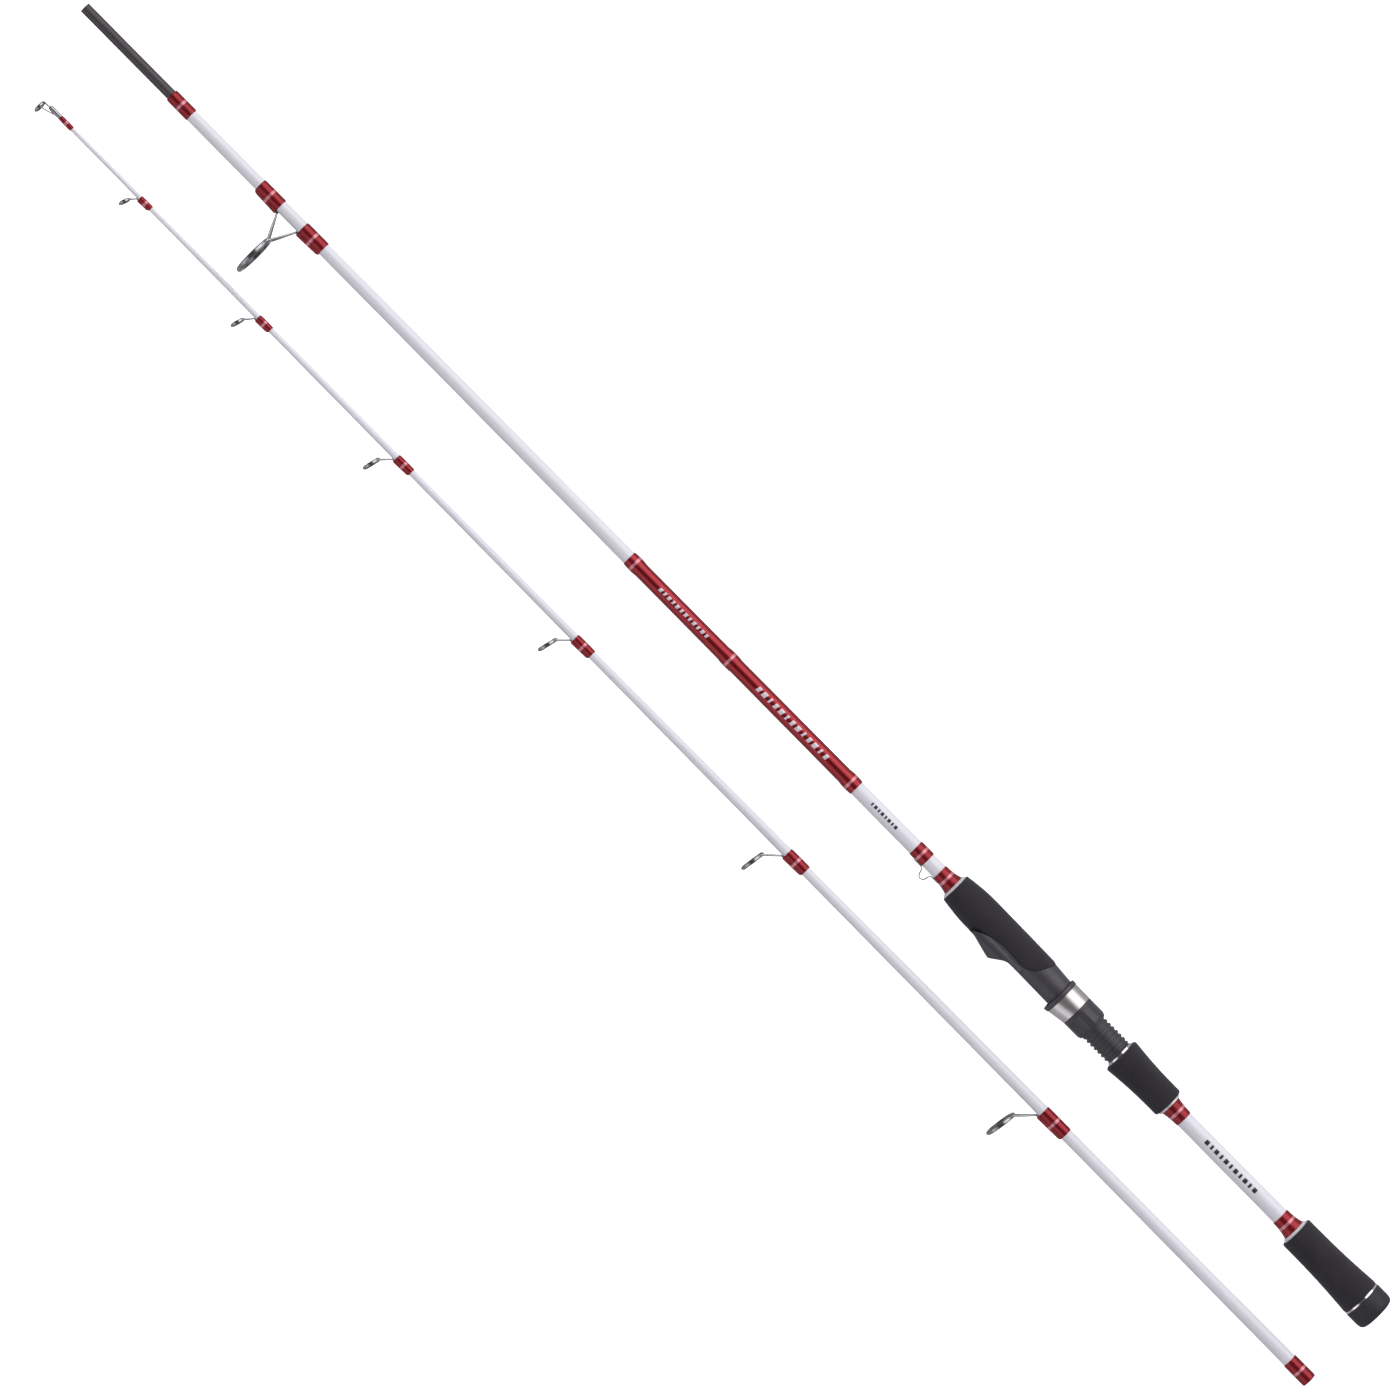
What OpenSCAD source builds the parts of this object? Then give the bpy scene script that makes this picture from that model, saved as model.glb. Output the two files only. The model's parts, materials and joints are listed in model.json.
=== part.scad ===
// Two-piece spinning rod laid out flat: the butt section with its handle, reel seat and stripping
// guide, and the tip section with its guides beside it, not joined. Millimetres. X runs along the
// rod toward the tip, Y toward the side that the guides and the reel are on, Z up. The rod lies on
// Z = 0 with the middle of its outline over the origin.

/* [Sections] */
// Length of the butt section, from the butt cap to the end of the male ferrule
butt_length = 1094; // [912:1:1320]
// Length of the tip section, from the ferrule socket to the end of the tip-top's tube
tip_length = 1067; // [890:1:1300]
// Space between the stripping guide's ring and the tip section lying next to it
lay_gap = 5.5; // [2:0.1:30]

/* [Blank] */
// Outer diameter of the blank at the butt
blank_butt_d = 11.3; // [9.4:0.1:13.6]
// Radial step from the butt blank down to its male ferrule
shoulder_step = 0.5; // [0.15:0.05:0.8]
// Wall of both blanks
blank_wall = 1.0; // [0.8:0.05:1.2]
// Outer diameter of the blank at the tip
blank_tip_d = 2.6; // [1.8:0.05:3.2]
// How far the blank's end stands off the butt cap's outside
cap_floor = 3; // [2:0.5:6]

/* [Ferrule] */
// Diameter of the male ferrule
ferrule_d = 6.8; // [5.6:0.05:8.2]
// Length of the bare male ferrule
ferrule_length = 73.5; // [55:0.5:95]
// Length of the male ferrule that goes into the socket
ferrule_overlap = 65.5; // [50:0.5:85]
// Radial clearance of the ferrule in its socket
ferrule_fit = 0.05; // [0.02:0.01:0.1]
// Wall of the tip blank around the socket
socket_wall = 1.1; // [0.8:0.05:1.4]

/* [Handle] */
// Diameter of the butt cap
cap_d = 25.8; // [21:0.1:31]
// Length of the butt cap
cap_length = 13; // [10:0.5:20]
// Radius of the cap's outer edge
cap_edge_r = 5; // [3:0.5:6]
// Length of the metal trim ring at a grip's end
trim_ring_length = 1.2; // [0.8:0.1:2]
// Length of the rear grip
rear_grip_length = 55; // [45:0.1:120]
// Diameter of the rear grip at the butt cap
rear_grip_d1 = 25.7; // [20:0.1:30]
// Diameter of the rear grip at its front end
rear_grip_d2 = 21.8; // [19:0.1:26]
// Length of a winding check
check_length = 1.6; // [1:0.1:3]
// Length of the flared wrap next to a grip
flare_length = 11.6; // [8:0.1:14]
// Length of bare blank between the rear grip's wrap and the middle grip's wrap
handle_gap = 81.3; // [30:0.1:200]
// Length of the middle grip
mid_grip_length = 41; // [30:0.1:60]
// Diameter of the middle grip at its rear end
mid_grip_d1 = 20.3; // [18.5:0.1:23]
// Diameter of the middle grip where it meets the reel seat
mid_grip_d2 = 24.2; // [20:0.1:29]
// How far the sides of these two grips curve in halfway along
grip_waist = 0.65; // [0:0.05:0.9]

/* [Reel seat] */
// Outer diameter of the seat's thread
thread_d = 18; // [15:0.1:21.6]
// Depth of the thread
thread_depth = 0.8; // [0.5:0.05:1]
// Pitch of the thread
thread_pitch = 3; // [2:0.1:4]
// How far the moving hood can be backed off
hood_travel = 20.2; // [16:0.5:38]
// Space that the nut keeps from the middle grip when it is backed right off
nut_end_gap = 1.6; // [0.5:0.1:4]
// Length of the lock nut
nut_length = 14.1; // [10:0.1:18]
// Wall of the lock nut around the thread
nut_wall = 1.6; // [0.9:0.1:2.5]
// Number of flutes around the lock nut
nut_flutes = 14; // [10:1:20]
// Length of the moving hood's steel sleeve
hood_length = 11.6; // [9:0.1:16]
// Wall of the moving hood away from the reel, steel sleeve and lining together
hood_wall = 1.75; // [1.1:0.05:2.5]
// How much further the hood's mouth stands out on the reel's side
hood_flare = 1.7; // [1:0.1:2.2]
// Thickness of the steel sleeve
sleeve_wall = 0.5; // [0.3:0.05:0.6]
// Length of the hood's plastic lip
lip_length = 2.9; // [2:0.1:5]
// Radial clearance of the nut and the hood on the seat's barrel
seat_fit = 0.1; // [0.05:0.01:0.1]
// Wall of the seat's barrel under the thread
barrel_wall = 1.4; // [1:0.1:1.8]
// Length of the seat's body in front of the moving hood
seat_body_length = 88.1; // [84:0.1:105]
// How far the reel foot's rest stands above the barrel
foot_rest_step = 0; // [0:0.05:0.5]
// Thickness of the fixed hood above its pocket
nub_wall = 2.4; // [1.8:0.1:3.5]
// Height of the fixed hood's pocket for the reel foot
pocket_h = 4.3; // [4.1:0.1:4.5]
// Width of the fixed hood's pocket
pocket_w = 13; // [11:0.1:14]
// Step from the barrel down to the seat's tube under the fore grip
core_step = 1; // [0.8:0.1:1.2]
// Largest diameter of the fore grip
fore_grip_d = 23.6; // [22:0.1:28]
// Diameter of the fore grip at its front end
fore_grip_end_d = 19.6; // [16:0.1:21.5]

/* [Wraps and trim] */
// Thickness of a thread wrap with its coat of resin
wrap_t = 0.4; // [0.3:0.05:0.7]
// Length of the wrap that holds the hook keeper's front foot
keeper_wrap_length = 10.4; // [7:0.1:14]
// Length of bare blank under the hook keeper
keeper_gap = 10; // [9.5:0.1:14]
// Diameter of the hook keeper's wire
keeper_wire_d = 0.8; // [0.6:0.05:1]
// Length of bare blank between the keeper's wrap and the red section
logo_gap = 49.9; // [20:0.1:90]
// Length of the red section
red_length = 192.4; // [150:0.1:220]
// Thickness of the red section's skin
red_t = 0.2; // [0.15:0.05:0.3]
// Length of a raised band on the red section
red_band_length = 10; // [6:0.5:12]
// Length of the wraps at the ferrule ends
ferrule_wrap_length = 17; // [11:0.1:20]
// Width of the light trim thread on each wrap
trim_w = 1.8; // [0.8:0.1:2.4]
// How far the trim thread stands out of its wrap
trim_t = 0.08; // [0.05:0.01:0.12]

/* [Stripping guide] */
// Outer diameter of the stripping guide's ring frame
strip_ring_d = 28.5; // [22:0.1:34.2]
// Height of the ring's near edge above the blank
strip_rise = 13.3; // [10:0.1:18]
// Distance from the ring to the end of the male ferrule
strip_from_end = 175.5; // [130:0.5:200]
// Half of the bare blank between the guide's two wraps
strip_half_gap = 9.2; // [7:0.1:12]
// Length of each of its wraps
strip_wrap_length = 17.7; // [13:0.1:22]

/* [Tip guides] */
// Outer diameter of each guide's ring frame
guide_ring_d = [21.2, 16.6, 13.8, 12.2, 9.5, 7.8]; // [6:0.1:24]
// Distance from the front of each guide's wrap to the tip
guide_from_tip = [841.5, 625, 445, 294, 176.5, 76.5]; // [60:0.5:850]
// Length of each guide's wrap
guide_wrap_length = [19.2, 15.3, 14.1, 12.4, 10.6, 9.1]; // [8:0.1:24]
// How far each ring's near edge stands in front of its wrap
guide_forward = [11.1, 10.1, 7.2, 6.8, 5.4, 4]; // [2.5:0.1:13]
// Height of each ring's near edge above the blank
guide_rise = [8.9, 6.9, 5.1, 5.1, 4.4, 2.8]; // [2:0.1:11]
// How far each ring leans toward the tip, in degrees
guide_lean = [8, 8, 13, 13, 15, 18]; // [5:1:22]
// Width of a guide's ring frame, around its ceramic ring
frame_band = 0.8; // [0.6:0.05:1]
// Diameter of a guide's wire legs
leg_d = 1.2; // [0.9:0.05:1.4]

/* [Tip-top] */
// Outer diameter of the tip-top's ring frame
top_ring_d = 8.4; // [6.4:0.1:10]
// Length of the tip-top's tube
top_tube_length = 9; // [7:0.1:12]
// Wall of the tip-top's tube
top_tube_wall = 0.45; // [0.3:0.05:0.6]
// How far the ring stands in front of the tube
top_forward = 4.4; // [3:0.1:6]
// Length of the wrap behind the tube
top_wrap_length = 9.8; // [7:0.1:14]

/* [Hidden] */

$fn = 64;
eps = 0.01;
guides = [0 : len(guide_ring_d) - 1];

// Stations along the butt section, from the butt cap's outside
rear_grip_x = cap_length + trim_ring_length;
rear_check_x = rear_grip_x + rear_grip_length;
rear_flare_x = rear_check_x + check_length;
mid_flare_x = rear_flare_x + flare_length + handle_gap;
mid_check_x = mid_flare_x + flare_length;
mid_grip_x = mid_check_x + 0.75 * check_length;
mid_ring_x = mid_grip_x + mid_grip_length;
spare_thread = hood_travel + nut_end_gap;
seat_x = mid_ring_x + trim_ring_length;
nut_x = seat_x + spare_thread;
hood_x = nut_x + nut_length;
lip_x = hood_x + hood_length;
body_x = lip_x + lip_length + seat_fit;
fore_check_x = body_x + seat_body_length;
fore_flare_x = fore_check_x + check_length;
keeper_wrap_x = fore_flare_x + flare_length + keeper_gap;
red_x = keeper_wrap_x + keeper_wrap_length + logo_gap;
strip_x = butt_length - strip_from_end;
shoulder_x = butt_length - ferrule_length;
ferrule_wrap_x = shoulder_x - ferrule_wrap_length;

// Stations along the tip section, from the ferrule socket's mouth
socket_depth = ferrule_overlap + 4;
guide_wrap_x = [for (i = guides) tip_length - guide_from_tip[i] - guide_wrap_length[i]];
top_tube_x = tip_length - top_tube_length;
top_wrap_x = top_tube_x - top_wrap_length;

// Radii of the blanks, which taper evenly
blank_shoulder_d = ferrule_d + 2 * shoulder_step;
socket_r = ferrule_d / 2 + ferrule_fit;
tip_butt_r = socket_r + socket_wall;
function butt_r(x) = (blank_butt_d + (blank_shoulder_d - blank_butt_d) * x / shoulder_x) / 2;
function tip_r(x) = tip_butt_r + (blank_tip_d / 2 - tip_butt_r) * x / tip_length;

// Sizes of a guide that follow from its ring
function insert_band(d) = 0.25 + 0.075 * d;
function insert_length(d) = 2 + 0.035 * d;
function insert_chamfer(d) = 0.1 + 0.01 * d;
function frame_length(d) = insert_length(d) * 0.6;
function foot_h(d) = 0.55 + 0.03 * d;
function foot_w(d) = 1.2 + 0.05 * d;
foot_tail_h = 0.25;
foot_overhang = 1.6;

// Sizes of the reel seat that follow from its thread
thread_r = thread_d / 2;
nut_d = thread_d + 2 * (seat_fit + nut_wall);
hood_d = thread_d + 2 * (seat_fit + hood_wall);
seat_bore_r = thread_r - thread_depth - barrel_wall;
seat_core_r = thread_r - core_step;
foot_rest_h = thread_r + foot_rest_step;
nub_h = foot_rest_h + pocket_h + nub_wall;

// Where the sections lie
strip_outer_y = butt_r(strip_x) + strip_rise + strip_ring_d;
section_gap = strip_outer_y + lay_gap + tip_butt_r + wrap_t;
function ring_outer_y(i) =
    let (d = guide_ring_d[i], lean = guide_lean[i], front = guide_wrap_x[i] + guide_wrap_length[i])
    tip_r(front) + guide_rise[i] + d * cos(lean) + frame_length(d) / 2 * sin(lean);
outline_min_y = -cap_d / 2;
outline_max_y = section_gap + max([for (i = guides) ring_outer_y(i)]);
butt_z = max(cap_d, strip_ring_d, hood_d + 2 * hood_flare, fore_grip_d, mid_grip_d2) / 2;
tip_z = max(max(guide_ring_d) / 2, tip_butt_r + wrap_t);
butt_at = [-butt_length / 2, -(outline_min_y + outline_max_y) / 2, butt_z];
tip_at = butt_at + [0, section_gap, tip_z - butt_z];

white = "#e6e6ee";
red = "#8f1722";
pink = "#c4808a";
black = "#2b2930";
grey = "#3d3b42";
carbon = "#403c40";
steel = "#c4c0c2";
ceramic = "#3a3a40";

// ---- Shared shapes ----

// A turned shape on the X axis, from [radius, x] points
module lathe(points) rotate([0, 90, 0]) rotate_extrude($fn = 96) polygon(points);

// A cylinder or cone on the X axis
module rod(x, length, r1, r2) translate([x, 0, 0]) rotate([0, 90, 0])
    cylinder(h = length, r1 = r1, r2 = r2);

// A solid the size of a blank's outside, with each part that sits on the blank cut by it
module butt_core() rod(0, shoulder_x, butt_r(0), butt_r(shoulder_x), $fn = 96);
module tip_core() rod(0, tip_length, tip_r(0), tip_r(tip_length), $fn = 96);

// A slice of space between two stations
module slice(x1, x2) translate([x1, -60, -60]) cube([x2 - x1, 120, 120]);

// A straight piece of wire
module wire(a, b, d) {
    v = b - a;
    translate(a) rotate([0, acos(v[2] / norm(v)), atan2(v[1], v[0])]) cylinder(h = norm(v), d = d, $fn = 24);
}

// A smooth curve through points, two coordinates each
function bend(p, i, u) =
    let (a = p[max(i - 1, 0)], b = p[i], c = p[i + 1], d = p[min(i + 2, len(p) - 1)])
    0.5 * (2 * b + (c - a) * u + (2 * a - 5 * b + 4 * c - d) * u * u + (3 * b - 3 * c + d - a) * u * u * u);
function smooth(p, steps) =
    [for (i = [0 : len(p) - 2]) for (k = [0 : steps - 1]) bend(p, i, k / steps), p[len(p) - 1]];

// A bent wire through points in the XY plane, as a tube with one ring of corners at each point
module bent_wire(line, d) {
    sides = 10;
    last = len(line) - 1;
    rings = [for (i = [0 : last])
        let (v = line[min(i + 1, last)] - line[max(i - 1, 0)], n = [-v[1], v[0]] / norm(v))
        for (k = [0 : sides - 1])
            let (a = 360 * k / sides)
            [line[i][0] + n[0] * cos(a) * d / 2, line[i][1] + n[1] * cos(a) * d / 2, sin(a) * d / 2]];
    skin = [for (i = [0 : last - 1]) for (k = [0 : sides - 1])
        let (a = i * sides + k, b = i * sides + (k + 1) % sides)
        [a, b, b + sides, a + sides]];
    ends = [[for (k = [sides - 1 : -1 : 0]) k], [for (k = [0 : sides - 1]) last * sides + k]];
    polyhedron(rings, concat(skin, ends));
}

// A wrap around a blank with its ends rounded off, thick resin toward the middle
module wrap_turn(x, length, r1, r2, t) lathe([
    [0, x],
    [r1 + t / 3, x],
    [r1 + t, x + 2 * t],
    [r2 + t, x + length - 2 * t],
    [r2 + t / 3, x + length],
    [0, x + length]
]);

// A wrap that flares up from the blank to a grip: grow is its height at the grip, and the grip is
// at the low end of X when dir is 1 and at the high end when dir is -1
module flare_turn(x, dir, grow, t) {
    steps = 8;
    lathe([
        [0, x],
        for (k = [0 : steps])
            let (u = k / steps, near = dir > 0 ? 1 - u : u)
            [butt_r(x + u * flare_length) + t + grow * pow(near, 2.4), x + u * flare_length],
        [0, x + flare_length]
    ]);
}

// ---- Guides ----
// A guide is placed with the blank's radius r, its foot's outer end at x1 under the wrap and its
// inner end at x2, in front of the wrap when dir is 1 and behind it when dir is -1.

module guide_foot(r, x1, x2, d) {
    translate([0, 0, -foot_w(d) / 2]) linear_extrude(foot_w(d)) polygon([
        [x1, 0],
        [x1, r + foot_tail_h],
        [x2, r + foot_h(d)],
        [x2, 0]
    ]);
}

// The wrap's ridge over a foot, as a cone that holds the foot with t to spare
module foot_cover(r, x1, x2, d, t) {
    low = norm([foot_w(d) / 2, foot_tail_h]) + t / 2;
    high = norm([foot_w(d) / 2, foot_h(d)]) + t / 2;
    length = abs(x2 - x1);
    translate([x1, r, 0]) rotate([0, x2 > x1 ? 90 : -90, 0]) cylinder(h = length, r1 = low, r2 = high);
}

// Ring frame, in its own plane, with its axis on Z
module ring_frame(d) rotate_extrude($fn = 96) {
    translate([d / 2 - frame_band, -frame_length(d) / 2]) square([frame_band, frame_length(d)]);
}

// The ring frame's bore, long enough to clear the legs
module ring_bore(d) cylinder(h = 3 * leg_d, r = d / 2 - frame_band, center = true, $fn = 96);

// Ceramic ring, in its own plane, with its axis on Z
module ring_insert(d) {
    outer = d / 2 - frame_band;
    inner = outer - insert_band(d);
    h = insert_length(d) / 2;
    c = insert_chamfer(d);
    rotate_extrude($fn = 96) polygon([
        [inner, -h + c], [inner + c, -h], [outer - c, -h], [outer, -h + c],
        [outer, h - c], [outer - c, h], [inner + c, h], [inner, h - c]
    ]);
}

// Puts a ring whose near edge is at [x, y] and which leans toward +X
module ring_at(x, y, lean, d) translate([x, y, 0]) rotate([0, 0, -lean]) translate([0, d / 2, 0])
    rotate([0, 90, 0]) children();

// Two legs from a foot's end to both sides of a ring's near edge
module guide_legs(foot, x, y, lean, d) {
    spread = 38;
    mid_r = d / 2 - frame_band / 2;
    side = mid_r * sin(spread);
    along = d / 2 - mid_r * cos(spread);
    end = [x + along * sin(lean), y + along * cos(lean)];
    for (s = [-1, 1]) wire([foot[0], foot[1], s * foot_w(d) / 4], [end[0], end[1], s * side], leg_d_for(d));
}
function leg_d_for(d) = min(leg_d, 0.7 + 0.03 * d);

// ---- Tip guides ----

module tip_foot(i) {
    d = guide_ring_d[i];
    front = guide_wrap_x[i] + guide_wrap_length[i];
    guide_foot(tip_r(front), guide_wrap_x[i] + 2, front + foot_overhang, d);
}

module tip_guide_wrap(i, t) {
    x = guide_wrap_x[i];
    length = guide_wrap_length[i];
    wrap_turn(x, length, tip_r(x), tip_r(x + length), t);
    foot_cover(tip_r(x + length), x + 1.5, x + length - t, guide_ring_d[i], t);
}

module guide_frame(i) color(steel) translate(tip_at) {
    d = guide_ring_d[i];
    front = guide_wrap_x[i] + guide_wrap_length[i];
    r = tip_r(front);
    ring_x = front + guide_forward[i];
    ring_y = r + guide_rise[i];
    difference() {
        union() {
            difference() {
                tip_foot(i);
                tip_core();
            }
            leg_y = r + foot_h(d) - leg_d_for(d) / 2;
            guide_legs([front + foot_overhang, leg_y], ring_x, ring_y, guide_lean[i], d);
            ring_at(ring_x, ring_y, guide_lean[i], d) ring_frame(d);
        }
        ring_at(ring_x, ring_y, guide_lean[i], d) ring_bore(d);
    }
}

module guide_ring(i) color(ceramic) translate(tip_at) {
    front = guide_wrap_x[i] + guide_wrap_length[i];
    ring_at(front + guide_forward[i], tip_r(front) + guide_rise[i], guide_lean[i], guide_ring_d[i])
        ring_insert(guide_ring_d[i]);
}

module guide_wrap(i) color(red) translate(tip_at) difference() {
    tip_guide_wrap(i, wrap_t);
    tip_core();
    tip_foot(i);
}

// ---- Stripping guide ----

strip_r = butt_r(strip_x);
strip_rear_x = strip_x - strip_half_gap - strip_wrap_length;
strip_front_x = strip_x + strip_half_gap;
strip_foot_in = strip_half_gap - foot_overhang;

module strip_foot(dir) {
    outer = strip_half_gap + strip_wrap_length - 2;
    guide_foot(strip_r, strip_x + dir * outer, strip_x + dir * strip_foot_in, strip_ring_d);
}

module strip_wrap(dir, t) {
    x = dir > 0 ? strip_front_x : strip_rear_x;
    inner = strip_x + dir * (strip_half_gap + t);
    outer = strip_x + dir * (strip_half_gap + strip_wrap_length - 1.5);
    wrap_turn(x, strip_wrap_length, butt_r(x), butt_r(x + strip_wrap_length), t);
    foot_cover(strip_r, outer, inner, strip_ring_d, t);
}

module stripping_guide_frame() color(steel) translate(butt_at) difference() {
    union() {
        for (dir = [-1, 1]) {
            difference() {
                strip_foot(dir);
                butt_core();
            }
            leg_foot = [strip_x + dir * strip_foot_in, strip_r + foot_h(strip_ring_d) - leg_d / 2];
            guide_legs(leg_foot, strip_x, strip_r + strip_rise, 0, strip_ring_d);
        }
        ring_at(strip_x, strip_r + strip_rise, 0, strip_ring_d) ring_frame(strip_ring_d);
    }
    ring_at(strip_x, strip_r + strip_rise, 0, strip_ring_d) ring_bore(strip_ring_d);
}

module stripping_guide_ring() color(ceramic) translate(butt_at)
    ring_at(strip_x, strip_r + strip_rise, 0, strip_ring_d) ring_insert(strip_ring_d);

module strip_wrap_piece(dir) color(red) translate(butt_at) difference() {
    strip_wrap(dir, wrap_t);
    butt_core();
    strip_foot(dir);
}

// ---- Butt section: blank, grips and trim ----

module butt_blank() translate(butt_at) {
    bare_r = ferrule_d / 2;
    color(white) lathe([
        [butt_r(cap_floor) - blank_wall, cap_floor],
        [butt_r(cap_floor), cap_floor],
        [butt_r(shoulder_x), shoulder_x],
        [bare_r, shoulder_x],
        [bare_r, butt_length],
        [bare_r - blank_wall, butt_length],
        [bare_r - blank_wall, shoulder_x],
    ]);
}

module butt_cap() color(black) translate(butt_at) lathe([
    [0, 0],
    for (a = [0 : 15 : 90])
        [cap_d / 2 - cap_edge_r * (1 - sin(a)), cap_edge_r * (1 - cos(a))],
    [cap_d / 2, cap_length - 0.6],
    [cap_d / 2 - 0.6, cap_length],
    [butt_r(cap_length), cap_length],
    [butt_r(cap_floor), cap_floor],
    [0, cap_floor]
]);

// A ring between the blank and a given diameter
module collar(x, length, d1, d2, edge) lathe([
    [butt_r(x), x],
    [d1 / 2 - edge, x],
    [d1 / 2, x + edge],
    [d2 / 2, x + length - edge],
    [d2 / 2 - edge, x + length],
    [butt_r(x + length), x + length]
]);

module butt_cap_ring() color(steel) translate(butt_at)
    collar(cap_length, trim_ring_length, rear_grip_d1 - 0.4, rear_grip_d1 - 0.4, 0.2);

// A foam grip that curves in between its ends
module waisted_grip(x, length, d1, d2, edge) {
    steps = 10;
    side = [for (k = [0 : steps])
        let (u = k / steps, r = (d1 + (d2 - d1) * u) / 2 - grip_waist * sin(180 * u))
        [r, x + edge + (length - 2 * edge) * u]];
    lathe(concat(
        [[butt_r(x), x], [d1 / 2 - edge, x]],
        side,
        [[d2 / 2 - edge, x + length], [butt_r(x + length), x + length]]
    ));
}

module rear_grip() color(black) translate(butt_at)
    waisted_grip(rear_grip_x, rear_grip_length, rear_grip_d1, rear_grip_d2, 0.8);

rear_check_d = rear_grip_d2 - 3.2;
rear_flare_grow = rear_check_d / 2 - butt_r(rear_flare_x) - 2.3;
mid_flare_grow = mid_grip_d1 / 2 - butt_r(mid_check_x) - 3.6;
fore_flare_grow = fore_grip_end_d / 2 - butt_r(fore_flare_x) - 3.1;

module rear_grip_check() color(white) translate(butt_at) lathe([
    [butt_r(rear_check_x), rear_check_x],
    [rear_check_d / 2, rear_check_x],
    [rear_check_d / 2 - 1.6, rear_flare_x],
    [butt_r(rear_flare_x), rear_flare_x]
]);

module rear_flare(t) flare_turn(rear_flare_x, 1, rear_flare_grow, t);
module mid_flare(t) flare_turn(mid_flare_x, -1, mid_flare_grow, t);
module fore_flare(t) flare_turn(fore_flare_x, 1, fore_flare_grow, t);

module rear_grip_wrap() color(red) translate(butt_at) difference() {
    rear_flare(wrap_t);
    butt_core();
}

module mid_grip_wrap() color(red) translate(butt_at) difference() {
    mid_flare(wrap_t);
    butt_core();
}

module mid_grip_check() color(white) translate(butt_at)
    collar(mid_check_x, 0.75 * check_length, mid_grip_d1 - 4.2, mid_grip_d1 - 4.2, 0.2);

module mid_grip() color(black) translate(butt_at)
    waisted_grip(mid_grip_x, mid_grip_length, mid_grip_d1, mid_grip_d2, 1.4);

module mid_grip_ring() color(steel) translate(butt_at)
    collar(mid_ring_x, trim_ring_length, thread_d + 0.4, thread_d + 0.4, 0.2);

// ---- Reel seat ----

grip_r = fore_grip_d / 2;
core_end_x = fore_check_x - 6;

// Outline of the fore grip and of the seat's body beside it, as [radius, x] from the body's rear
shell_line = [
    [thread_r + 0.6, 0],
    [thread_r + 1.6, 13],
    [grip_r - 0.7, 18],
    [grip_r - 0.35, 36],
    [grip_r - 0.1, 60]
];
function grip_line() = [
    [thread_r + 1.95, body_x + 12.5],
    [grip_r - 0.5, body_x + 18],
    [grip_r - 0.15, body_x + 42],
    [grip_r, body_x + 60],
    [grip_r - 0.1, body_x + 72],
    [grip_r - 0.95, fore_check_x - 7],
    [fore_grip_end_d / 2, fore_check_x - 0.3],
    [fore_grip_end_d / 2 - 0.3, fore_check_x]
];

// Edge between the fore grip and the seat's body, seen from the side, as [x, y] from the body's rear
grip_edge = [
    [13, -12], [15, -7], [18, -1.5], [22, 2.8], [27, 4.6],
    [36, 4.4], [46, 4.5], [55, 6.6], [62, 10], [66, 14]
];
module grip_side() translate([body_x, 0]) polygon(concat(
    [[seat_body_length + 1, 20], [seat_body_length + 1, -20], [13, -20]],
    smooth(grip_edge, 4),
    [[67, 20]]
));

// The reel's side of the seat's body, seen from the side: the foot's rest and the fixed hood
nub_x = 45;
nub_line = [
    [29, foot_rest_h],
    [34, foot_rest_h + 0.15],
    [37, foot_rest_h + 1],
    [40, foot_rest_h + 3],
    [nub_x, nub_h]
];
module body_side() translate([body_x, 0]) polygon(concat(
    [[0, -20], [0, foot_rest_h + 0.4]],
    smooth(nub_line, 5),
    [[nub_x + 1, nub_h - 0.2], [nub_x + 14.5, grip_r + 0.2], [nub_x + 22, grip_r], [nub_x + 22, -20]]
));

// The fixed hood's form across the rod: a flat top with round shoulders
module nub_form() {
    shoulder_r = 7;
    half_flat = 3.5;
    length = 42;
    translate([body_x + 26, nub_h - shoulder_r, 0]) {
        for (s = [-1, 1]) translate([0, 0, s * half_flat]) rod(0, length, shoulder_r, shoulder_r);
        translate([0, -shoulder_r, -half_flat]) cube([length, 2 * shoulder_r, 2 * half_flat]);
    }
}

module seat_shell() {
    top = [for (p = shell_line) p + [0, body_x]];
    intersection() {
        union() {
            lathe(concat([[0, body_x]], top, [[0, body_x + 60]]));
            nub_form();
        }
        translate([0, 0, -20]) linear_extrude(40) body_side();
        translate([0, 0, -20]) linear_extrude(40) difference() {
            translate([body_x, -20]) square([70, 40]);
            grip_side();
        }
    }
}

// The threaded barrel, its thread cut as rings
module barrel() {
    turns = floor((hood_x - seat_x - 1) / thread_pitch);
    root = thread_r - thread_depth;
    lathe(concat(
        [[0, seat_x], [root, seat_x]],
        [for (k = [0 : turns - 1]) for (p = [[0, 0.1], [1, 0.35], [1, 0.65], [0, 0.9]])
            [root + p[0] * thread_depth, seat_x + 0.5 + (k + p[1]) * thread_pitch]],
        [[root, hood_x], [thread_r, hood_x + thread_depth], [thread_r, body_x], [0, body_x]]
    ));
}

module reel_seat_body() color(grey) translate(butt_at) difference() {
    union() {
        barrel();
        rod(body_x - eps, core_end_x - body_x + eps, seat_core_r, seat_core_r);
        seat_shell();
    }
    rod(seat_x - 1, core_end_x - seat_x + 2, seat_bore_r, seat_bore_r);
    translate([body_x + 31, foot_rest_h - 0.05, -pocket_w / 2]) cube([20, pocket_h, pocket_w]);
}

arbor_length = 16;
module seat_arbors() color("#b9a67c") translate(butt_at) difference() {
    for (x = [seat_x + 2, body_x - 4, core_end_x - arbor_length - 2])
        rod(x, arbor_length, seat_bore_r, seat_bore_r);
    butt_core();
}

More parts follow.
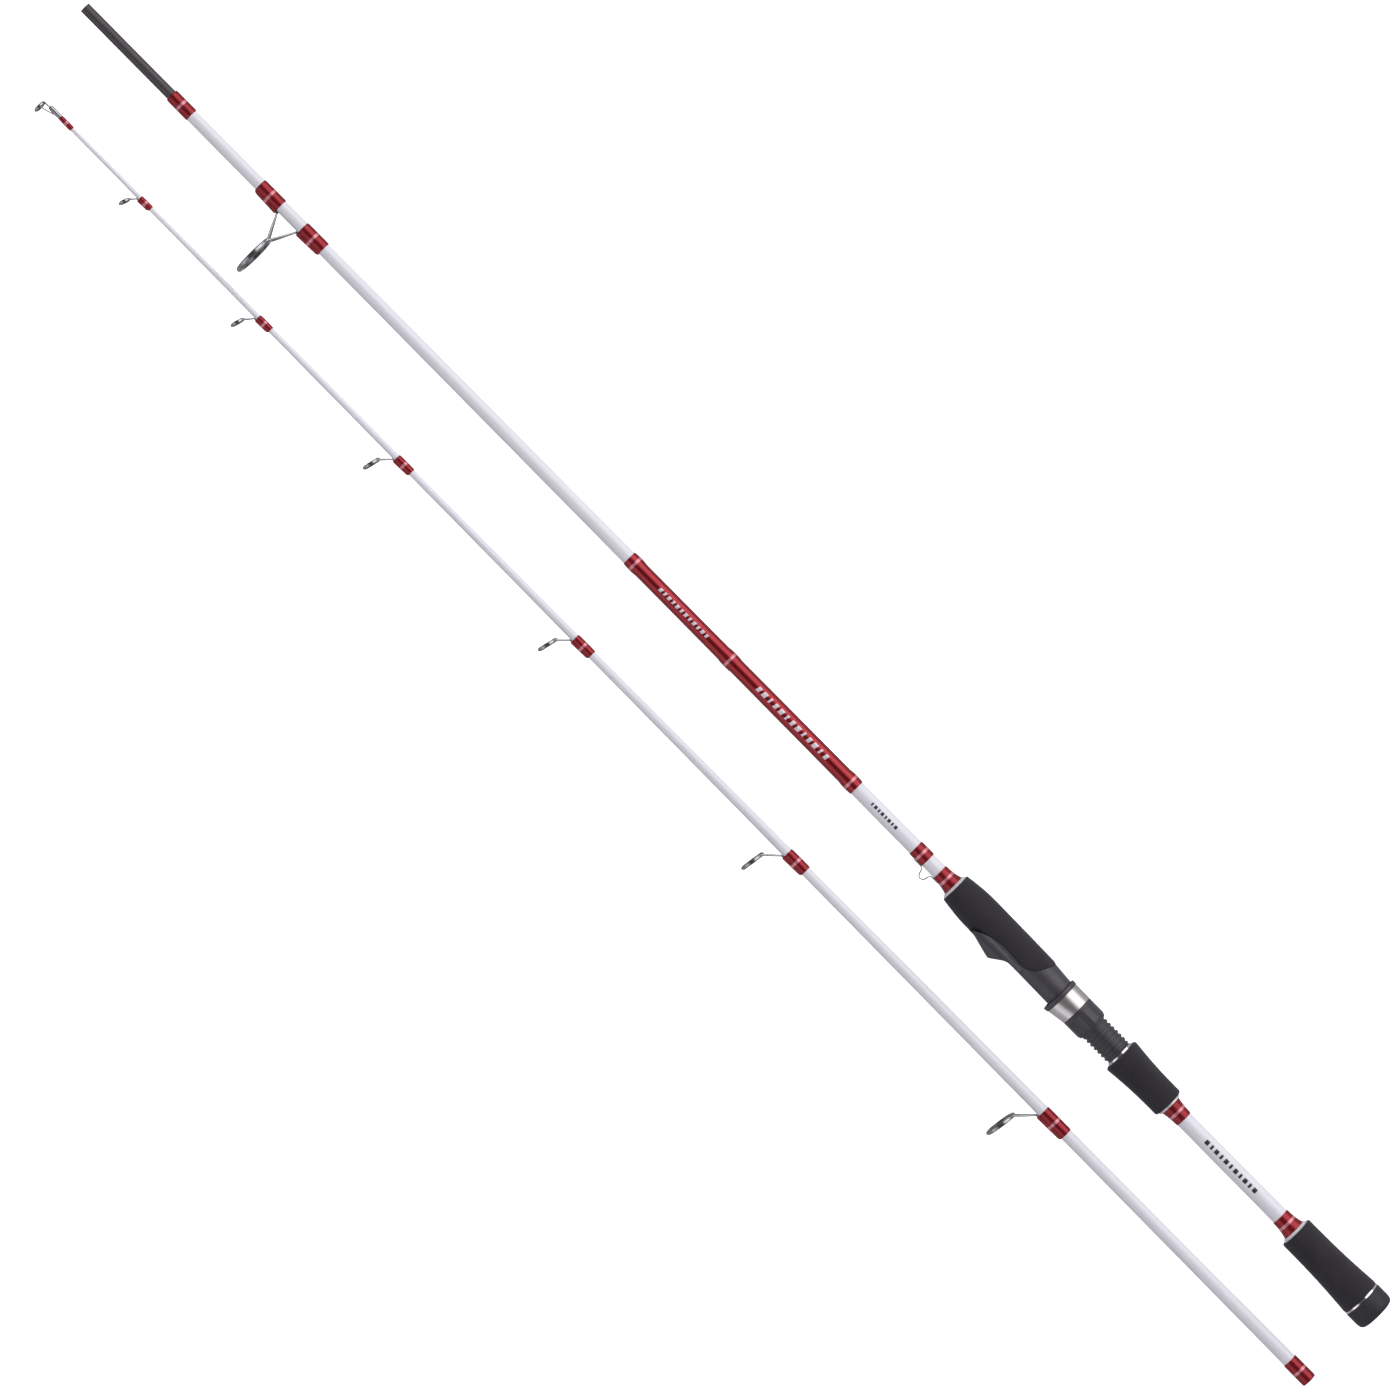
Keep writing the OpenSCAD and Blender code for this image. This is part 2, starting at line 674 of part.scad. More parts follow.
// The lock nut turns on the thread behind the moving hood
flute_r = 0.9;
flute_depth = 0.35;
module lock_nut() color(black) translate(butt_at) difference() {
    lathe([
        [thread_r + seat_fit, nut_x],
        [nut_d / 2 - 1.1, nut_x],
        [nut_d / 2, nut_x + 2.2],
        [nut_d / 2, hood_x - 0.5],
        [nut_d / 2 - 0.4, hood_x - 0.1],
        [thread_r + seat_fit, hood_x - 0.1]
    ]);
    for (k = [0 : nut_flutes - 1]) rotate([k * 360 / nut_flutes, 0, 0])
        translate([0, nut_d / 2 + flute_r - flute_depth, 0])
            rod(nut_x - 1, nut_length - 1.5, flute_r, flute_r);
}

// The moving hood's outside: round, with a second barrel leaning out on the reel's side
module hood_form(grow) {
    lean = atan(hood_flare / hood_length);
    length = hood_length + lip_length;
    r = hood_d / 2 + grow;
    rod(hood_x - 1, length + 1, r, r);
    translate([hood_x, 0, 0]) rotate([0, 0, lean]) rod(-6, length + 12, r - 0.1, r - 0.1);
}

module hood_sleeve() color(steel) translate(butt_at) intersection() {
    difference() {
        hood_form(0);
        hood_form(-sleeve_wall);
    }
    slice(hood_x, lip_x);
}

// The hood's plastic lining and lip, with the pocket that takes the reel foot's rear end
module hood_liner() color(black) translate(butt_at) difference() {
    union() {
        intersection() {
            hood_form(-sleeve_wall);
            slice(hood_x, lip_x + eps);
        }
        intersection() {
            hood_form(0.5);
            slice(lip_x, lip_x + lip_length);
        }
    }
    rod(hood_x - 1, hood_length + lip_length + 2, thread_r + seat_fit, thread_r + seat_fit, $fn = 96);
    intersection() {
        hood_form(-sleeve_wall - 0.4);
        translate([hood_x + 3, thread_r - 3, -pocket_w / 2]) cube([hood_length + lip_length, 10, pocket_w]);
    }
}

module fore_grip() color(black) translate(butt_at) difference() {
    intersection() {
        lathe(concat([[0, body_x + 12.5]], grip_line(), [[0, fore_check_x]]));
        translate([0, 0, -20]) linear_extrude(40) grip_side();
    }
    rod(body_x, core_end_x - body_x, seat_core_r, seat_core_r);
    butt_core();
}

module fore_grip_check() color(white) translate(butt_at) lathe([
    [butt_r(fore_check_x), fore_check_x],
    [fore_grip_end_d / 2 - 0.4, fore_check_x],
    [fore_grip_end_d / 2 - 2, fore_flare_x],
    [butt_r(fore_flare_x), fore_flare_x]
]);

module fore_grip_wrap() color(red) translate(butt_at) difference() {
    fore_flare(wrap_t);
    butt_core();
    keeper_feet();
}

// ---- Hook keeper ----

// Its line in the XY plane, from the foot under the front wrap to the foot under the flared wrap:
// distances in front of the flared wrap's end, and heights above the blank
keeper_foot_h = 0.35;
keeper_line = [
    [16, keeper_foot_h], [11.6, keeper_foot_h], [10, 0.5], [8.4, 1.9], [7.7, 4.2], [6.2, 5.7], [4.2, 5.4],
    [3.1, 3.9], [2.6, 1.8], [1.4, 0.5], [-0.6, keeper_foot_h], [-4.2, keeper_foot_h]
];
keeper_x = fore_flare_x + flare_length;

module hook_keeper() color(steel) translate(butt_at)
    bent_wire([for (p = smooth(keeper_line, 4)) [keeper_x + p[0], keeper_y + p[1]]], keeper_wire_d);

// The keeper's feet, cut out of the wraps that hold it
keeper_y = butt_r(keeper_x) + 0.1;
keeper_slot_r = keeper_wire_d / 2 + 0.04;
module keeper_feet() {
    translate([0, keeper_y + keeper_foot_h, 0]) {
        rod(keeper_x + 9, 8, keeper_slot_r, keeper_slot_r);
        rod(keeper_x - 5, 6, keeper_slot_r, keeper_slot_r);
    }
}

module keeper_wrap_turn(t) {
    end_x = keeper_wrap_x + keeper_wrap_length;
    wrap_turn(keeper_wrap_x, keeper_wrap_length, butt_r(keeper_wrap_x) + 0.3, butt_r(end_x), t);
}

module keeper_wrap() color(red) translate(butt_at) difference() {
    keeper_wrap_turn(wrap_t);
    butt_core();
    keeper_feet();
}

// ---- Red section and the other wraps of the butt section ----

red_band_at = [0, 0.56, 1];
function red_band_x(k) = red_x + red_band_at[k] * (red_length - red_band_length);

module red_skin() color(red) translate(butt_at) difference() {
    rod(red_x, red_length, butt_r(red_x) + red_t, butt_r(red_x + red_length) + red_t, $fn = 96);
    butt_core();
}

module red_band(k, t) {
    x = red_band_x(k);
    wrap_turn(x, red_band_length, butt_r(x) + red_t, butt_r(x + red_band_length) + red_t, t);
}

module red_bands() color(red) translate(butt_at) difference() {
    for (k = [0 : 2]) red_band(k, wrap_t);
    rod(
        red_x - 1, red_length + 2,
        butt_r(red_x - 1) + red_t, butt_r(red_x + red_length + 1) + red_t, $fn = 96
    );
}

module ferrule_turn(t) wrap_turn(
    ferrule_wrap_x, ferrule_wrap_length, butt_r(ferrule_wrap_x), butt_r(shoulder_x), t
);

module ferrule_wrap() color(red) translate(butt_at) difference() {
    ferrule_turn(wrap_t);
    rod(0, shoulder_x + 1, butt_r(0), butt_r(shoulder_x + 1), $fn = 96);
}

// A trim thread is the skin of its wrap, trim_t thick and trim_w wide, at the middle station. Its
// children are the wrap at its outer thickness and at its own.
module trim(x) intersection() {
    difference() {
        children(0);
        children(1);
    }
    slice(x - trim_w / 2, x + trim_w / 2);
}

over_t = wrap_t + trim_t;

module butt_trims() color(pink) translate(butt_at) difference() {
    union() {
        trim(rear_flare_x + flare_length / 2) {
            rear_flare(over_t);
            rear_flare(wrap_t);
        }
        trim(mid_flare_x + flare_length / 2) {
            mid_flare(over_t);
            mid_flare(wrap_t);
        }
        trim(fore_flare_x + flare_length / 2) {
            fore_flare(over_t);
            fore_flare(wrap_t);
        }
        trim(keeper_wrap_x + keeper_wrap_length * 0.4) {
            keeper_wrap_turn(over_t);
            keeper_wrap_turn(wrap_t);
        }
        for (k = [0 : 2]) trim(red_band_x(k) + red_band_length / 2) {
            red_band(k, over_t);
            red_band(k, wrap_t);
        }
        trim(strip_rear_x + strip_wrap_length / 2) {
            strip_wrap(-1, over_t);
            strip_wrap(-1, wrap_t);
        }
        trim(strip_front_x + strip_wrap_length / 2) {
            strip_wrap(1, over_t);
            strip_wrap(1, wrap_t);
        }
        trim(ferrule_wrap_x + ferrule_wrap_length / 2) {
            ferrule_turn(over_t);
            ferrule_turn(wrap_t);
        }
    }
    keeper_feet();
}

// ---- Tip section ----

cavity_end_x = tip_length * 0.72;

module tip_blank() color(white) translate(tip_at) lathe([
    [socket_r, 0],
    [tip_butt_r, 0],
    [tip_r(tip_length), tip_length - 1],
    [0, tip_length - 1],
    [0, cavity_end_x],
    [0.4, cavity_end_x],
    [tip_r(socket_depth) - blank_wall, socket_depth],
    [socket_r, socket_depth]
]);

module socket_turn(t) wrap_turn(0, ferrule_wrap_length, tip_r(0), tip_r(ferrule_wrap_length), t);

module socket_wrap() color(red) translate(tip_at) difference() {
    socket_turn(wrap_t);
    rod(-1, ferrule_wrap_length + 2, tip_r(-1), tip_r(ferrule_wrap_length + 1), $fn = 96);
}

// ---- Tip-top ----

top_bore_r = tip_r(top_tube_x);
top_tube_r = top_bore_r + top_tube_wall;
top_ring_x = tip_length + top_forward;
top_leg_d = 0.8;

module tip_top_frame() color(steel) translate(tip_at) difference() {
    union() {
        rod(top_tube_x, top_tube_length, top_tube_r, top_tube_r);
        side = top_ring_d / 2 - frame_band / 2;
        for (s = [-1, 1]) {
            wire([tip_length - 0.5, 0, s * 0.5], [top_ring_x, 0.5, s * 0.5], top_leg_d);
            wire(
                [tip_length - top_tube_length / 2, top_tube_r - 0.2, s * 0.4],
                [top_ring_x, top_ring_d / 2, s * side],
                top_leg_d
            );
        }
        ring_at(top_ring_x, 0, 0, top_ring_d) ring_frame(top_ring_d);
    }
    ring_at(top_ring_x, 0, 0, top_ring_d) ring_bore(top_ring_d);
    rod(top_tube_x - 1, top_tube_length, top_bore_r, top_bore_r);
}

module tip_top_ring() color(ceramic) translate(tip_at)
    ring_at(top_ring_x, 0, 0, top_ring_d) ring_insert(top_ring_d);

module top_turn(t) wrap_turn(top_wrap_x, top_wrap_length, tip_r(top_wrap_x), tip_r(top_tube_x), t);

module tip_top_wrap() color(red) translate(tip_at) difference() {
    top_turn(wrap_t);
    tip_core();
}

module tip_trims() color(pink) translate(tip_at) {
    trim(ferrule_wrap_length / 2) {
        socket_turn(over_t);
        socket_turn(wrap_t);
    }
    for (i = guides) trim(guide_wrap_x[i] + guide_wrap_length[i] / 2) {
        tip_guide_wrap(i, over_t);
        tip_guide_wrap(i, wrap_t);
    }
    trim(top_wrap_x + top_wrap_length / 2) {
        top_turn(over_t);
        top_turn(wrap_t);
    }
}

butt_blank();
butt_cap();
butt_cap_ring();
rear_grip();
rear_grip_check();
rear_grip_wrap();
mid_grip_wrap();
mid_grip_check();
mid_grip();
mid_grip_ring();
reel_seat_body();
seat_arbors();
lock_nut();
hood_sleeve();
hood_liner();
fore_grip();
fore_grip_check();
fore_grip_wrap();
hook_keeper();
keeper_wrap();
red_skin();
red_bands();
stripping_guide_frame();
stripping_guide_ring();
strip_wrap_piece(-1);  // stripping_rear_wrap
strip_wrap_piece(1);  // stripping_front_wrap
ferrule_wrap();
butt_trims();
tip_blank();
socket_wrap();
tip_top_frame();
tip_top_ring();
tip_top_wrap();
tip_trims();
for (i = guides) {
    guide_frame(i);
    guide_ring(i);
    guide_wrap(i);
}
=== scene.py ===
"""A two-piece spinning rod, its butt and tip sections lying side by side.

Every piece is turned, swept or cut in rod coordinates, where X runs along the rod toward the tip,
Y toward the side that the guides are on and Z up, and is then moved onto its section's axis.
"""
import json
import math

import bmesh
import bpy
from mathutils import Matrix, Vector


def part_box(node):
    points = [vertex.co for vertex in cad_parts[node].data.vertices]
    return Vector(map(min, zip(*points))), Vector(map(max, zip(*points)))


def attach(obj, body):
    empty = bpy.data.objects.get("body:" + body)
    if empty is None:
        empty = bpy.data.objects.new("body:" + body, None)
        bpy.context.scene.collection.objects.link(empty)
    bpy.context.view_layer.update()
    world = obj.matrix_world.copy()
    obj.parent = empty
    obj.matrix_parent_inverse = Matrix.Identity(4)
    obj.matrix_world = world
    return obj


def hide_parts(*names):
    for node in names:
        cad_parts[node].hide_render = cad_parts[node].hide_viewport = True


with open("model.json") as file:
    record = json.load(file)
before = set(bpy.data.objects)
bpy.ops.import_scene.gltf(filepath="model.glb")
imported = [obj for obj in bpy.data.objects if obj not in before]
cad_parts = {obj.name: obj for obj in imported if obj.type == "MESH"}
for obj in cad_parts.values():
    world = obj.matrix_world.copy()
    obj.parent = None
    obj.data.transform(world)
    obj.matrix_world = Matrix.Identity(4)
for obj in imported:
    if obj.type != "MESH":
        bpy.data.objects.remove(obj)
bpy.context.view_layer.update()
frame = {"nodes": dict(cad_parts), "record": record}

MM = 0.001
MOUNTS = {mount["name"]: mount for mount in frame["record"]["mounts"]}

# Axes of the two sections
BUTT_AXIS = Vector(MOUNTS["butt_end"]["pos_m"])
TIP_AXIS = Vector(MOUNTS["ferrule_socket"]["pos_m"])

# Sizes that a node's box doesn't give
SHOULDER_STEP = 0.5 * MM
TIP_END_R = 1.3 * MM
TUBE_WALL = 1.0 * MM
WRAP_T = 0.4 * MM
RED_T = 0.2 * MM
THREAD_R = 9 * MM
THREAD_DEPTH = 0.8 * MM
THREAD_PITCH = 3.0 * MM
SEAT_FIT = 0.1 * MM
SEAT_BORE_R = 6.8 * MM
SEAT_CORE_R = 8 * MM
FOOT_REST = 9 * MM
NUB_H = 15.7 * MM
REAR_GRIP_FRONT_R = 10.9 * MM
MID_GRIP_REAR_R = 10.15 * MM
GRIP_WAIST = 0.65 * MM
FORE_GRIP_FRONT_R = 9.8 * MM
SLEEVE_WALL = 0.5 * MM
FRAME_BAND = 0.8 * MM
HOOD_WALL = 1.75 * MM
HOOD_FLARE = 1.7 * MM
FOOT_TAIL = 0.25 * MM
FOOT_OVERHANG = 1.6 * MM
FOOT_INSET = 2 * MM
TRIM_T = 0.08 * MM


def span(node):
    """Where a node starts and ends along X."""
    low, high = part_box(node)
    return low[0], high[0]


def reach(node):
    """Half of a node's width across the rod, which is the radius of a turned one."""
    low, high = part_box(node)
    return (high[2] - low[2]) / 2


# ---- Shapes ----

def blend_line(points, steps):
    """A smooth line through (x, r) points."""
    line = []
    for i in range(len(points) - 1):
        a, b = points[max(i - 1, 0)], points[i]
        c, d = points[i + 1], points[min(i + 2, len(points) - 1)]
        for k in range(steps):
            u = k / steps
            line.append(tuple(
                0.5 * (2 * q + (s - p) * u + (2 * p - 5 * q + 4 * s - t) * u * u
                       + (3 * q - 3 * s + t - p) * u ** 3)
                for p, q, s, t in zip(a, b, c, d)
            ))
    return line + [tuple(points[-1])]


def eased(points, steps=4):
    """A line through (x, r) or (x, r, ease) points, its corners rounded off over their ease."""
    line = []
    for i, point in enumerate(points):
        corner = Vector(point[:2])
        ease = point[2] if len(point) > 2 else 0
        if not ease:
            line.append(tuple(corner))
            continue
        before = Vector(points[i - 1][:2]) - corner
        after = Vector(points[(i + 1) % len(points)][:2]) - corner
        start = corner + before.normalized() * min(ease, before.length * 0.49)
        end = corner + after.normalized() * min(ease, after.length * 0.49)
        for k in range(steps + 1):
            u = k / steps
            line.append(tuple(start * (1 - u) ** 2 + corner * 2 * u * (1 - u) + end * u * u))
    return line


def stations(start, end, step):
    """Evenly spaced places from start to end, at most a step apart."""
    count = max(1, math.ceil((end - start) / step))
    return [start + (end - start) * k / count for k in range(count + 1)]


def turned(line, steps=72, form=None):
    """A solid turned from a closed line of (x, r) points. form(x, r, angle) reshapes its radius."""
    shape = bmesh.new()
    verts = [shape.verts.new((x, r, 0)) for x, r in line]
    edges = [shape.edges.new((a, b)) for a, b in zip(verts, verts[1:] + verts[:1])]
    bmesh.ops.spin(
        shape, geom=verts + edges, cent=(0, 0, 0), axis=(1, 0, 0), dvec=(0, 0, 0),
        angle=2 * math.pi, steps=steps, use_merge=True, use_duplicate=False,
    )
    bmesh.ops.remove_doubles(shape, verts=shape.verts, dist=1e-7)
    bmesh.ops.dissolve_degenerate(shape, edges=shape.edges, dist=1e-7)
    if form:
        for vert in shape.verts:
            x, y, z = vert.co
            r, angle = math.hypot(y, z), math.atan2(z, y)
            new_r = form(x, r, angle)
            vert.co = (x, new_r * math.cos(angle), new_r * math.sin(angle))
    bmesh.ops.recalc_face_normals(shape, faces=shape.faces)
    return shape


def swept(points, radius, sides=3):
    """A round wire along a smooth line through 3-D points, its ends closed."""
    data = bpy.data.curves.new("wire_line", "CURVE")
    data.dimensions = "3D"
    data.bevel_depth = radius
    data.bevel_resolution = sides
    data.use_fill_caps = True
    line = blend_line([tuple(p) for p in points], 6) if len(points) > 2 else points
    spline = data.splines.new("POLY")
    spline.points.add(len(line) - 1)
    for knot, place in zip(spline.points, line):
        knot.co = (*place, 1)
    wire = bpy.data.objects.new("wire_line", data)
    shape = bmesh.new()
    mesh = bpy.data.meshes.new_from_object(wire)
    shape.from_mesh(mesh)
    bpy.data.meshes.remove(mesh)
    bpy.data.objects.remove(wire)
    bpy.data.curves.remove(data)
    bmesh.ops.recalc_face_normals(shape, faces=shape.faces)
    return shape


def block(low, high, ease=0):
    """A block between two corners, its edges rounded off."""
    shape = bmesh.new()
    bmesh.ops.create_cube(shape, size=1)
    low, high = Vector(low), Vector(high)
    bmesh.ops.scale(shape, vec=high - low, verts=shape.verts)
    bmesh.ops.translate(shape, vec=(low + high) / 2, verts=shape.verts)
    if ease:
        bmesh.ops.bevel(
            shape, geom=shape.edges[:], offset=ease, affect="EDGES", segments=3,
            profile=0.5, material=-1,
        )
    return shape


def prism(outline, half):
    """An outline of (x, y) points made solid from -half to half along Z."""
    shape = bmesh.new()
    face = shape.faces.new([shape.verts.new((x, y, -half)) for x, y in outline])
    raised = bmesh.ops.extrude_face_region(shape, geom=[face])["geom"]
    top = [part for part in raised if isinstance(part, bmesh.types.BMVert)]
    bmesh.ops.translate(shape, vec=(0, 0, 2 * half), verts=top)
    bmesh.ops.recalc_face_normals(shape, faces=shape.faces)
    return shape


def joined(*shapes):
    """Several shapes as one, each keeping its own skin."""
    whole = bmesh.new()
    for shape in shapes:
        mesh = bpy.data.meshes.new("part")
        shape.to_mesh(mesh)
        shape.free()
        whole.from_mesh(mesh)
        bpy.data.meshes.remove(mesh)
    return whole


def scratch_object(shape):
    mesh = bpy.data.meshes.new("scratch")
    shape.to_mesh(mesh)
    shape.free()
    thing = bpy.data.objects.new("scratch", mesh)
    bpy.context.scene.collection.objects.link(thing)
    return thing


def carved(shape, *cuts, voxel=0, smooth=0):
    """A shape after cuts of (tool, operation), and remeshed and smoothed if voxel is given."""
    base = scratch_object(shape)
    tools = []
    for tool, operation in cuts:
        tools.append(scratch_object(tool))
        step = base.modifiers.new("cut", "BOOLEAN")
        step.operation = operation
        step.object = tools[-1]
        step.solver = "EXACT"
    if voxel:
        remesh = base.modifiers.new("remesh", "REMESH")
        remesh.mode = "VOXEL"
        remesh.voxel_size = voxel
        soften = base.modifiers.new("soften", "SMOOTH")
        soften.factor = 0.5
        soften.iterations = smooth
    ready = base.evaluated_get(bpy.context.evaluated_depsgraph_get())
    mesh = bpy.data.meshes.new_from_object(ready)
    result = bmesh.new()
    result.from_mesh(mesh)
    bpy.data.meshes.remove(mesh)
    for thing in [base] + tools:
        data = thing.data
        bpy.data.objects.remove(thing)
        bpy.data.meshes.remove(data)
    return result


def piece(name, shape, axis, body, slot, finish, *nodes, crease=38):
    """Puts a finished shape on its section's axis as a piece that rides on a body."""
    bmesh.ops.translate(shape, vec=(0, axis.y, axis.z), verts=shape.verts)
    mesh = bpy.data.meshes.new(name)
    shape.to_mesh(mesh)
    shape.free()
    mesh.shade_smooth()
    mesh.set_sharp_from_angle(angle=math.radians(crease))
    mesh.materials.append(finish)
    thing = bpy.data.objects.new(name, mesh)
    bpy.context.scene.collection.objects.link(thing)
    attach(thing, body)
    if nodes:
        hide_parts(*nodes)
    return thing


def butt_piece(name, shape, slot, finish, *nodes, crease=38):
    return piece(name, shape, BUTT_AXIS, "butt_section", slot, finish, *nodes, crease=crease)


def tip_piece(name, shape, slot, finish, *nodes, crease=38):
    return piece(name, shape, TIP_AXIS, "tip_section", slot, finish, *nodes, crease=crease)


# ---- Finishes ----

class Finish:
    """A material under construction: its shader, its object coordinates and its nodes."""

    def __init__(self, name, **settings):
        self.material = bpy.data.materials.new(name)
        self.material.use_nodes = True
        self.tree = self.material.node_tree
        self.shader = self.tree.nodes["Principled BSDF"]
        self.place = self.add("TexCoord").outputs["Object"]
        for socket, value in settings.items():
            self.shader.inputs[socket.replace("_", " ")].default_value = value

    def add(self, kind, **settings):
        node = self.tree.nodes.new("ShaderNode" + kind)
        for name, value in settings.items():
            setattr(node, name, value)
        return node

    def link(self, source, target):
        self.tree.links.new(source, target)

    def stretched(self, x, y, z):
        """Object coordinates scaled along each axis."""
        mapping = self.add("Mapping")
        mapping.inputs["Scale"].default_value = (x, y, z)
        self.link(self.place, mapping.inputs["Vector"])
        return mapping.outputs["Vector"]

    def noise(self, vector, scale, detail=3.0, roughness=0.55):
        node = self.add("TexNoise")
        node.inputs["Scale"].default_value = scale
        node.inputs["Detail"].default_value = detail
        node.inputs["Roughness"].default_value = roughness
        self.link(vector, node.inputs["Vector"])
        return node.outputs["Fac"]

    def threads(self, pitch, distortion=0.0):
        """Rings around the rod, one to a pitch."""
        node = self.add("TexWave", wave_type="BANDS", bands_direction="X", wave_profile="SIN")
        node.inputs["Scale"].default_value = 2 * math.pi / (20 * pitch)
        node.inputs["Distortion"].default_value = distortion
        self.link(self.place, node.inputs["Vector"])
        return node.outputs["Fac"]

    def graded(self, value, *stops):
        """A colour ramp over a value, from (place, colour) stops."""
        ramp = self.add("ValToRGB")
        for k, (place, colour) in enumerate(stops):
            stop = ramp.color_ramp.elements[k] if k < 2 else ramp.color_ramp.elements.new(place)
            stop.position = place
            stop.color = (*colour, 1)
        self.link(value, ramp.inputs["Fac"])
        return ramp.outputs["Color"]

    def colour(self, value, *stops):
        self.link(self.graded(value, *stops), self.shader.inputs["Base Color"])

    def gloss(self, value, low, high):
        spread = self.add("MapRange")
        spread.inputs["To Min"].default_value = low
        spread.inputs["To Max"].default_value = high
        self.link(value, spread.inputs["Value"])
        self.link(spread.outputs["Result"], self.shader.inputs["Roughness"])

    def relief(self, *layers):
        """Bump from (value, depth in metres) layers, the last one on top."""
        normal = None
        for value, depth in layers:
            bump = self.add("Bump")
            bump.inputs["Strength"].default_value = 1.0
            bump.inputs["Distance"].default_value = depth
            self.link(value, bump.inputs["Height"])
            if normal:
                self.link(normal, bump.inputs["Normal"])
            normal = bump.outputs["Normal"]
        self.link(normal, self.shader.inputs["Normal"])


def white_lacquer():
    finish = Finish("white_lacquer", Coat_Weight=0.45, Coat_Roughness=0.08, Specular_IOR_Level=0.3)
    clouds = finish.noise(finish.stretched(12, 120, 120), 6, 4)
    finish.colour(clouds, (0.3, (0.73, 0.725, 0.775)), (0.7, (0.77, 0.76, 0.81)))
    finish.gloss(finish.noise(finish.place, 900), 0.34, 0.42)
    finish.relief((finish.noise(finish.stretched(60, 500, 500), 4, 2), 0.00002))
    return finish.material


def bare_carbon():
    finish = Finish("bare_carbon", Coat_Weight=0.15, Coat_Roughness=0.3, Specular_IOR_Level=0.4)
    tape = finish.threads(1.6 * MM, 0.4)
    finish.colour(tape, (0.2, (0.036, 0.030, 0.033)), (0.8, (0.066, 0.056, 0.062)))
    finish.gloss(finish.noise(finish.stretched(200, 2500, 2500), 1), 0.38, 0.55)
    finish.relief((tape, 0.00003), (finish.noise(finish.place, 4000), 0.00001))
    return finish.material


def red_thread():
    finish = Finish(
        "red_thread", Metallic=0.8, Coat_Weight=0.3, Coat_Roughness=0.12, Specular_IOR_Level=0.4,
    )
    lines = finish.threads(0.22 * MM, 0.15)
    finish.colour(lines, (0.1, (0.19, 0.005, 0.010)), (0.9, (0.31, 0.012, 0.021)))
    finish.gloss(finish.noise(finish.stretched(3000, 400, 400), 1), 0.36, 0.46)
    finish.relief((lines, 0.000012))
    return finish.material


def trim_thread():
    finish = Finish(
        "trim_thread", Metallic=0.4, Coat_Weight=1.0, Coat_Roughness=0.06, Specular_IOR_Level=0.5,
    )
    lines = finish.threads(0.22 * MM, 0.15)
    finish.colour(lines, (0.1, (0.50, 0.13, 0.17)), (0.9, (0.66, 0.24, 0.29)))
    finish.gloss(finish.noise(finish.stretched(3000, 400, 400), 1), 0.3, 0.42)
    finish.relief((lines, 0.000012))
    return finish.material


def red_paint():
    finish = Finish(
        "red_paint", Metallic=0.8, Coat_Weight=0.35, Coat_Roughness=0.1, Specular_IOR_Level=0.4,
    )
    flakes = finish.add("TexVoronoi")
    flakes.inputs["Scale"].default_value = 4500
    finish.link(finish.place, flakes.inputs["Vector"])
    finish.colour(
        flakes.outputs["Distance"], (0.1, (0.32, 0.013, 0.021)), (0.8, (0.23, 0.007, 0.013)),
    )
    finish.gloss(finish.noise(finish.place, 2500), 0.3, 0.42)
    finish.relief((finish.noise(finish.stretched(80, 600, 600), 3, 2), 0.00002))
    return finish.material


def foam():
    finish = Finish("eva_foam", Specular_IOR_Level=0.3, Sheen_Weight=0.12, Sheen_Roughness=0.5)
    pores = finish.add("TexVoronoi", feature="SMOOTH_F1")
    pores.inputs["Scale"].default_value = 1500
    finish.link(finish.place, pores.inputs["Vector"])
    clouds = finish.noise(finish.stretched(60, 90, 90), 1, 5)
    finish.colour(clouds, (0.3, (0.019, 0.017, 0.0215)), (0.75, (0.027, 0.0245, 0.031)))
    finish.gloss(finish.noise(finish.place, 700), 0.78, 0.95)
    finish.relief((pores.outputs["Distance"], 0.00012), (finish.noise(finish.place, 2600), 0.00005))
    return finish.material


def cap_rubber():
    finish = Finish("cap_rubber", Specular_IOR_Level=0.35)
    clouds = finish.noise(finish.place, 140, 4)
    finish.colour(clouds, (0.3, (0.020, 0.0185, 0.023)), (0.75, (0.030, 0.028, 0.034)))
    finish.gloss(finish.noise(finish.place, 1200), 0.5, 0.68)
    finish.relief((finish.noise(finish.place, 3500), 0.00003))
    return finish.material


def seat_plastic():
    finish = Finish("seat_plastic", Specular_IOR_Level=0.5, Coat_Weight=0.08, Coat_Roughness=0.35)
    clouds = finish.noise(finish.place, 90, 4)
    finish.colour(clouds, (0.3, (0.036, 0.034, 0.042)), (0.75, (0.046, 0.043, 0.053)))
    finish.gloss(finish.noise(finish.place, 1500), 0.42, 0.55)
    finish.relief((finish.noise(finish.place, 5000, 2), 0.00002))
    return finish.material


def nut_plastic():
    finish = Finish("nut_plastic", Specular_IOR_Level=0.5)
    clouds = finish.noise(finish.place, 200, 4)
    finish.colour(clouds, (0.3, (0.030, 0.028, 0.034)), (0.75, (0.042, 0.039, 0.048)))
    finish.gloss(finish.noise(finish.place, 1800), 0.40, 0.55)
    finish.relief((finish.noise(finish.place, 5500, 2), 0.00002))
    return finish.material


def check_plastic():
    finish = Finish("check_plastic", Metallic=0.15, Coat_Weight=0.5, Coat_Roughness=0.1)
    clouds = finish.noise(finish.stretched(900, 200, 200), 1, 3)
    finish.colour(clouds, (0.3, (0.60, 0.59, 0.63)), (0.7, (0.74, 0.73, 0.77)))
    finish.gloss(finish.noise(finish.place, 1500), 0.22, 0.36)
    finish.relief((finish.noise(finish.stretched(5000, 300, 300), 1), 0.00002))
    return finish.material


